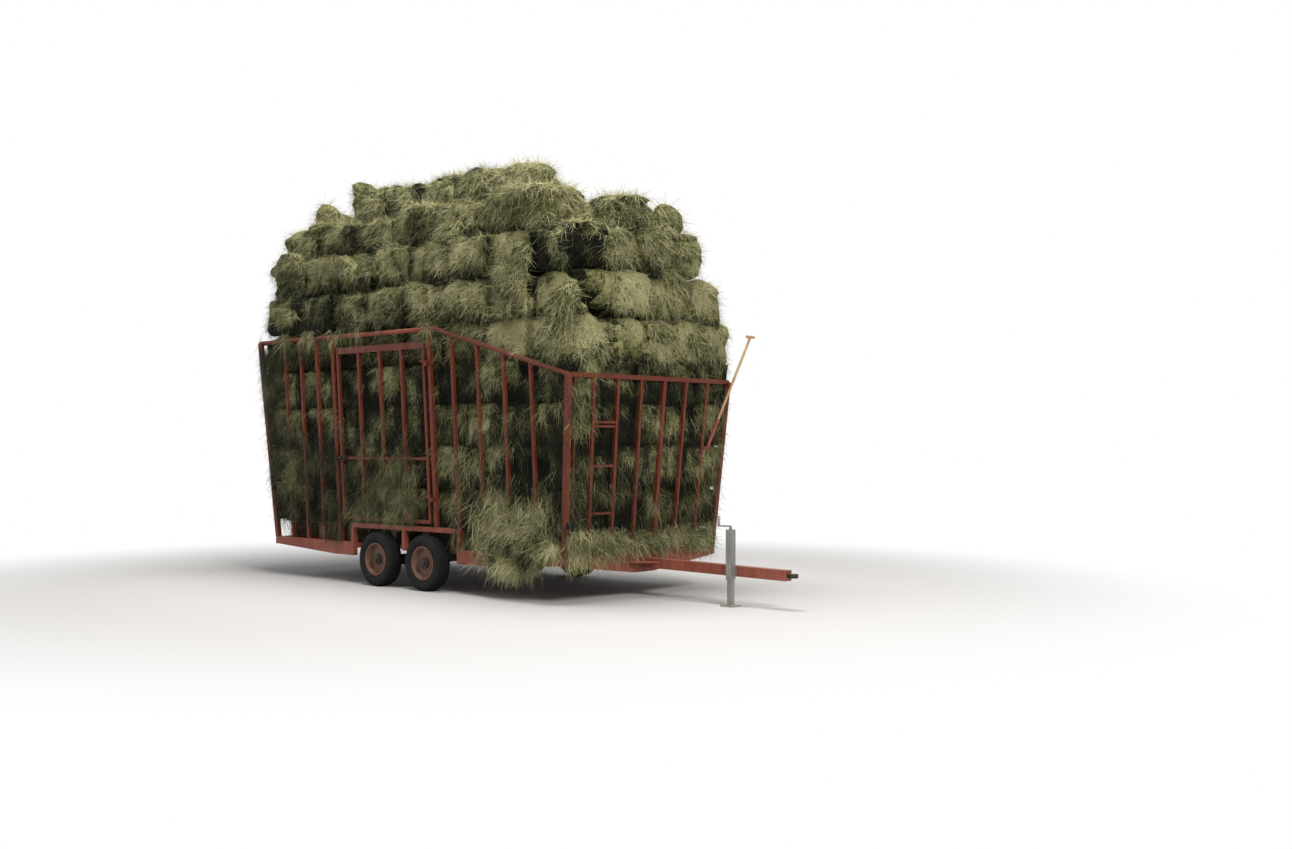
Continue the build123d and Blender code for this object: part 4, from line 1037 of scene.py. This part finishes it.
class HAYWAGON_OT_wisps(bpy.types.Operator):
    """Hang wisps of hay out between the bars of the cage, on its walls, on its gates and over its top pipes"""
    bl_idname = "haywagon.wisps"
    bl_label = "Wisps on the cage"

    def execute(self, context):
        h = hay()
        walls = cage()
        long = h.length * 1.3
        gate_low, gate_high = walls.gate_rear + 0.05, walls.gate_front - 0.05
        hollow_z, hollow_run, post_run, rail_z = 0.38, 1.05, 0.38, 2.45

        def full(along, z):
            return 1.0

        for side, k in SIDES:
            def outward(a, b, k=k):
                """A span along the wagon, in the order that turns its faces outwards."""
                return (a, b) if k < 0 else (b, a)

            def on_side(along, z, out, k=k):
                at = walls_at(walls, z)
                share = (along - walls.rear) / (walls.front - walls.rear)
                lean = (1.0 - share) ** 8 * (at.rear - walls.rear) + share ** 8 * (at.front - walls.front)
                return Vector((along + lean, k * (at.half + out), z))

            def over_pipe(along, z, out, k=k):
                """Beside the top pipe. Here z is the height above the pipe's middle."""
                return Vector((along, k * (walls_at(walls, 2.52).half + 0.02 + out), 2.49 + z))

            def on_rear(along, z, out):
                return Vector((walls_at(walls, z).rear - out, along, z))

            def at_corner(patch, k=k):
                """Thick at the rear post and under the rear end of the rail, with a hollow at the foot."""
                def mask(along, z):
                    end = along - walls.rear
                    if z < hollow_z and end < hollow_run:
                        return 0.0
                    at_post = (2.2 if z < 1.9 else 4.0) * (1.0 - abs(end) / post_run)
                    under_rail = 1.2 - end / 0.9 - (rail_z - z) / 0.4 + 0.9 * billow(Vector((along * 2, k, z)))
                    return max(patch(along, z), at_post, under_rail)
                return mask

            def tufts(along, z, k=k):
                """Mask of loose tufts, the same at every height."""
                return min(1.0, max(0.0, 3.0 * noise.noise(Vector((along * 2.2, 3.0 * k, 5.0))),
                                    2.2 * noise.noise(Vector((along * 5.5, 3.0 * k, 2.0)))))

            for place, span, high, density, top, bright in (
                    ("front", outward(gate_high + 0.32, walls.front - 0.03), 1.9, 2550.0, 1.5, 0.10),
                    ("rear", outward(walls.rear + 0.02, gate_low - 0.03), 2.47, 4080.0, 1.75, -0.30)):
                curtain(f"side_wisps_{place}_{side}", on_side, span, (0.17, high), h.seed + 31 * k + len(place),
                        density, long, at_corner(patches(top - 0.9, top, 3.0 * k)), bright)
            curtain(f"gate_wisps_{side}", on_side, outward(gate_low + 0.05, gate_high - 0.26), (0.42, 1.85),
                    h.seed + 17 * k + 60, 4400.0, long, patches(1.0, 1.8, 5.0 * k), -0.05, f"side_gate_{side}")
            curtain(f"pipe_wisps_{side}", over_pipe, outward(walls_at(walls, 2.5).rear + 0.03, gate_high + 0.1),
                    (0.0, 0.14), h.seed + 19 * k + 150, 5200.0, h.length * 1.5, tufts, 0.35)
            span = (k * 0.06, k * (walls.half - 0.14))
            curtain(f"door_wisps_{side}", on_rear, (max(span), min(span)), (0.45, 1.8), h.seed + 13 * k + 120,
                    3000.0, long, patches(0.6, 1.6, 6.0 * k), 0.1, f"rear_door_{side}")

        floor_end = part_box("floor_boards")[0].x
        sill = 0.14         # under this height the spilt hay hangs straight down

        def on_front(along, z, out):
            at = walls_at(walls, z)
            return Vector((at.front + out, along * at.half / walls.half, z))

        def over_beam(along, z, out):
            return Vector((walls_at(walls, max(z, sill)).front + 0.03 + out, along, z))

        def over_rail(along, z, out):
            fold = 0.03 * max(0.0, 0.5 - abs(z - 0.3))
            return Vector((along, -walls_at(walls, max(z, sill)).half - 0.03 - out - fold, z))

        def at_posts(along, z, patch=patches(0.2, 1.3, 8.0)):
            return max(patch(along, z), 1.6 - (walls.half - abs(along)) / 0.16)

        def spill(along, z):
            return 1.0 if z < 0.5 + 0.3 * noise.noise(Vector((along * 2.0, z, 4.0))) else 0.35

        def heap(along, z):
            lumpy = 0.6 * noise.noise(Vector((along * 3.0, z * 3.0, 2.0)))
            share = min(1.0, max(0.0, 1.5 - 2.2 * abs(along - walls.front + 0.75) + lumpy))
            return share * (1.0 if z > 0.02 else 0.6)

        curtain("front_wisps", on_front, (-walls.half, walls.half), (0.17, 1.9),
                h.seed + 90, 2400.0, long, at_posts, 0.05)
        curtain("rear_spill", lambda along, z, out: Vector((floor_end - 0.3 * out, along, z)),
                (walls.half - 0.06, 0.06 - walls.half), (0.17, 0.36),
                h.seed + 94, 4600.0, h.length * 1.2, full, 0.0)
        curtain("corner_spill_front", over_beam, (-walls.half - 0.02, -0.25), (0.06, 0.42),
                h.seed + 91, 4600.0, long, spill, 0.4)
        curtain("front_spill", on_front, (-0.25, walls.half - 0.03), (0.15, 0.42),
                h.seed + 93, 4600.0, long, full, 0.2)
        curtain("corner_spill_side", over_rail, (walls.front - 1.7, walls.front + 0.02), (-0.02, 0.75),
                h.seed + 92, 4200.0, h.length * 1.6, heap, 0.45)
        return {"FINISHED"}


# ------------------------------------------------------------------ tumbled hay
class HAYWAGON_OT_slumps(bpy.types.Operator):
    """Lay tumbled hay on the ledges of the load and on the front beam"""
    bl_idname = "haywagon.slumps"
    bl_label = "Slumped hay"

    def execute(self, context):
        h = hay()
        pick = random.Random(h.seed + 3)
        bales, middles = hay_blocks()
        everything = [b for n in COURSES for b in bales[n]] + middles
        bm = bmesh.new()
        grow, lift, tone = growth_layers(bm)

        widest, top, rail = 1.32, 4.2, 2.35     # half the load's width, its top ledge and the cage's rail

        def lump(spot, size, turn):
            made = bmesh.ops.create_icosphere(bm, subdivisions=2, radius=1.0, matrix=Matrix.Translation(
                spot) @ turn @ Matrix.Diagonal(size).to_4x4())["verts"]
            for v in made:
                v.co += (v.co - spot).normalized() * (roughen(v.co, 0.06, 4.0, 1) + roughen(v.co, 0.04, 9.0, 2))
                v.co.y = max(-widest, min(widest, v.co.y))

        for low, high in [b for n in COURSES[CAGED:] for b in bales[n]]:
            for _ in range(2):
                spot = Vector((pick.uniform(low.x, high.x), pick.uniform(low.y, high.y), high.z - 0.03))
                if covered(spot + Vector((0, 0, 0.1)), everything) or pick.random() < 0.6 or high.z > top:
                    continue
                lump(spot, Vector((pick.uniform(0.20, 0.38), pick.uniform(0.16, 0.30), pick.uniform(0.06, 0.12))),
                     Matrix.Rotation(pick.uniform(0, math.pi), 4, "Z"))
            centre, half = (low + high) / 2, (high - low) / 2
            for way in (Vector((0, -1, 0)), Vector((0, 1, 0)), Vector((1, 0, 0)), Vector((-1, 0, 0))):
                across = Vector((-way.y, way.x, 0))
                reach = abs(way.x) * half.x + abs(way.y) * half.y
                wide = abs(way.y) * half.x + abs(way.x) * half.y
                spot = centre + way * (reach - 0.015) + across * pick.uniform(-0.5, 0.5) * wide + Vector(
                    (0, 0, pick.uniform(-1.0, 0.8) * half.z))
                if covered(spot + way * 0.12, everything) or spot.z < rail or pick.random() < 0.5:
                    continue
                aside = Vector((0, 0.12, 0))
                if way.x > 0 and cleft(spot + aside) + cleft(spot - aside) > 0:
                    continue
                lump(spot, Vector((pick.uniform(0.05, 0.085), pick.uniform(0.18, 0.34), pick.uniform(0.10, 0.22))),
                     way.to_track_quat("X", "Z").to_matrix().to_4x4() @ Matrix.Rotation(
                         pick.uniform(-0.5, 0.5), 4, "X"))
        beam_low, beam_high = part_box("front_beam")
        heaps, first, pitch = 9, 0.14, 0.258        # along the front beam
        for n in range(heaps):
            spot = Vector((beam_high.x - 0.06, beam_low.y + first + pitch * n + pick.uniform(-0.05, 0.05),
                           beam_high.z + 0.07))
            lump(spot, Vector((0.075, 0.20, pick.uniform(0.10, 0.16))), Matrix.Identity(4))
        for face in bm.faces:
            face.normal_update()
            free = face.normal.z > -0.8 and not covered(face.calc_center_median(), everything)
            face[grow] = 1.0 if free else 0.0
            # painted light: faces that look up are paler
            face[tone] = 0.55 + 0.5 * max(0.0, face.normal.z)
            face[lift] = 0.35
        piece = put(bm, "hay_slumps", "Packed hay")
        grow_blades("hay_slump_blades", piece.data, h.density * 0.85, h.length * 1.2, 1.0, 1.0, h.seed + 300)
        return {"FINISHED"}


class HAYWAGON_OT_loose_hay(bpy.types.Operator):
    """Drape the loose hay over the right rail and along the front beam"""
    bl_idname = "haywagon.loose_hay"
    bl_label = "Loose hay"

    def execute(self, context):
        h = hay()
        host = add_object("loose", mesh_of(cad_copy("loose_hay"), "loose"))
        remesh = host.modifiers.new("Remesh", "REMESH")
        remesh.mode, remesh.voxel_size = "VOXEL", 0.03
        bm = bmesh.new()
        bm.from_mesh(settle(host))
        bmesh.ops.smooth_vert(bm, verts=bm.verts, factor=0.5, use_axis_x=True, use_axis_y=True, use_axis_z=True)
        grow, lift, tone = growth_layers(bm)
        for v in bm.verts:
            v.co += v.normal * (roughen(v.co, 0.035, 5.0, 3) + roughen(v.co, 0.018, 14.0, 2) - 0.004)
        for face in bm.faces:
            face[grow] = 1.0
            face[tone] = 0.38 + 1.7 * noise.noise(face.calc_center_median() * 6.0)
            face[lift] = 0.3
        piece = put(bm, "loose_hay_heap", "Packed hay", stands_for="loose_hay")
        grow_blades("loose_hay_blades", piece.data, h.density * 1.6, h.length * 1.15, 1.0, 1.2, h.seed + 200)
        return {"FINISHED"}


# ------------------------------------------------------------------ stage
def background_rays(tree):
    """1 for the rays that show the background: from the camera, and in gloss and glass."""
    path = shade(tree, "ShaderNodeLightPath").outputs
    return most(tree, most(tree, path["Is Camera Ray"], path["Is Glossy Ray"]), path["Is Transmission Ray"])


def add_floor():
    """Pale floor that fades to white away from the wagon."""
    bm = bmesh.new()
    bmesh.ops.create_grid(bm, x_segments=1, y_segments=1, size=60.0,
                          matrix=Matrix.Translation((-4, 0, GROUND - 0.001)))
    floor = add_object("floor", mesh_of(bm, "floor"))
    made, tree, surface = material("Pale floor", (0.8, 0.8, 0.8, 1))
    feed(tree, surface, {"Base Color": (0.58, 0.57, 0.56, 1), "Roughness": 0.9})
    far = vector(tree, "DISTANCE", {0: here(tree), 1: (-4.5, 0, GROUND)})[1]
    white = shade(tree, "ShaderNodeEmission", {0: (1, 1, 1, 1), 1: 1.0})
    fade = times(tree, between(tree, far, 4.2, 8.5), background_rays(tree))
    mixed = shade(tree, "ShaderNodeMixShader", {0: fade, 1: surface.outputs[0], 2: white.outputs[0]})
    tree.links.new(mixed.outputs[0], tree.nodes["Material Output"].inputs[0])
    floor.data.materials.append(made)


def add_sky():
    """Soft even light from all round, behind a white background."""
    world = bpy.data.worlds.new("Soft sky")
    world.use_nodes = True
    bpy.context.scene.world = world
    tree = world.node_tree
    back = feed(tree, tree.nodes["Background"], {"Color": (0.93, 0.96, 1.0, 1), "Strength": 0.24})
    white = shade(tree, "ShaderNodeBackground", {0: (1, 1, 1, 1), 1: 1.0})
    mixed = shade(tree, "ShaderNodeMixShader", {0: background_rays(tree), 1: back.outputs[0], 2: white.outputs[0]})
    tree.links.new(mixed.outputs[0], tree.nodes["World Output"].inputs[0])


class HAYWAGON_OT_stage(bpy.types.Operator):
    """Set the pale floor, soft light and the photograph's camera"""
    bl_idname = "haywagon.stage"
    bl_label = "Stage"

    def execute(self, context):
        scene = context.scene
        scene.view_settings.view_transform = "Standard"
        add_floor()
        add_sky()
        for name, place, aim, size, power, tint in (
                ("Overhead", (-3.0, -1.0, 12.0), (-4.5, 0, 0), 6.0, 1650.0, (1.0, 0.98, 0.95)),
                ("Key", (10.0, -6.0, 9.0), (-4.0, 0, 1.6), 4.0, 1550.0, (1.0, 0.97, 0.92)),
                ("Fill", (-12.0, -11.0, 5.0), (-4.5, 0, 1.0), 6.0, 110.0, (0.95, 0.97, 1.0))):
            lamp = bpy.data.lights.new(name, "AREA")
            lamp.size, lamp.energy, lamp.color = size, power, tint
            light = add_object(name, lamp)
            light.location = place
            light.rotation_euler = (Vector(aim) - Vector(place)).to_track_quat("-Z", "Y").to_euler()

        lens = bpy.data.cameras.new("Photograph")
        lens.sensor_width, lens.lens = 36.0, 39.25
        scene.camera = add_object("Photograph", lens)
        scene.camera.location = (8.058, -11.059, 1.265)
        scene.camera.rotation_euler = (math.radians(90.833), 0.0, 0.734)
        return {"FINISHED"}


# ------------------------------------------------------------------ add-on
OPERATORS = (HAYWAGON_OT_materials, HAYWAGON_OT_tyres, HAYWAGON_OT_wheel_nuts, HAYWAGON_OT_latches,
             HAYWAGON_OT_bales, HAYWAGON_OT_blades, HAYWAGON_OT_wisps, HAYWAGON_OT_slumps, HAYWAGON_OT_loose_hay,
             HAYWAGON_OT_stage)
SETTINGS = {"hay_wagon_paint": HayWagonPaint, "hay_wagon_hay": HayWagonHay, "hay_wagon_tyre": HayWagonTyre}


class HAYWAGON_PT_panel(bpy.types.Panel):
    """The wagon's settings, and the steps that dress it"""
    bl_idname = "HAYWAGON_PT_panel"
    bl_label = "Hay Wagon"
    bl_space_type = "VIEW_3D"
    bl_region_type = "UI"
    bl_category = "Hay Wagon"

    def draw(self, context):
        for key, kind in SETTINGS.items():
            for setting in kind.__annotations__:
                self.layout.prop(getattr(context.scene, key), setting)
        for step in OPERATORS:
            self.layout.operator(step.bl_idname)


def register():
    for made in (*SETTINGS.values(), *OPERATORS, HAYWAGON_PT_panel):
        bpy.utils.register_class(made)
    for key, kind in SETTINGS.items():
        setattr(bpy.types.Scene, key, PointerProperty(type=kind))


def unregister():
    for key in SETTINGS:
        delattr(bpy.types.Scene, key)
    for made in (HAYWAGON_PT_panel, *reversed(OPERATORS), *SETTINGS.values()):
        bpy.utils.unregister_class(made)


def main():
    register()
    for step in OPERATORS:
        family, name = step.bl_idname.split(".")
        getattr(getattr(bpy.ops, family), name)()


if __name__ == "__main__":
    main()
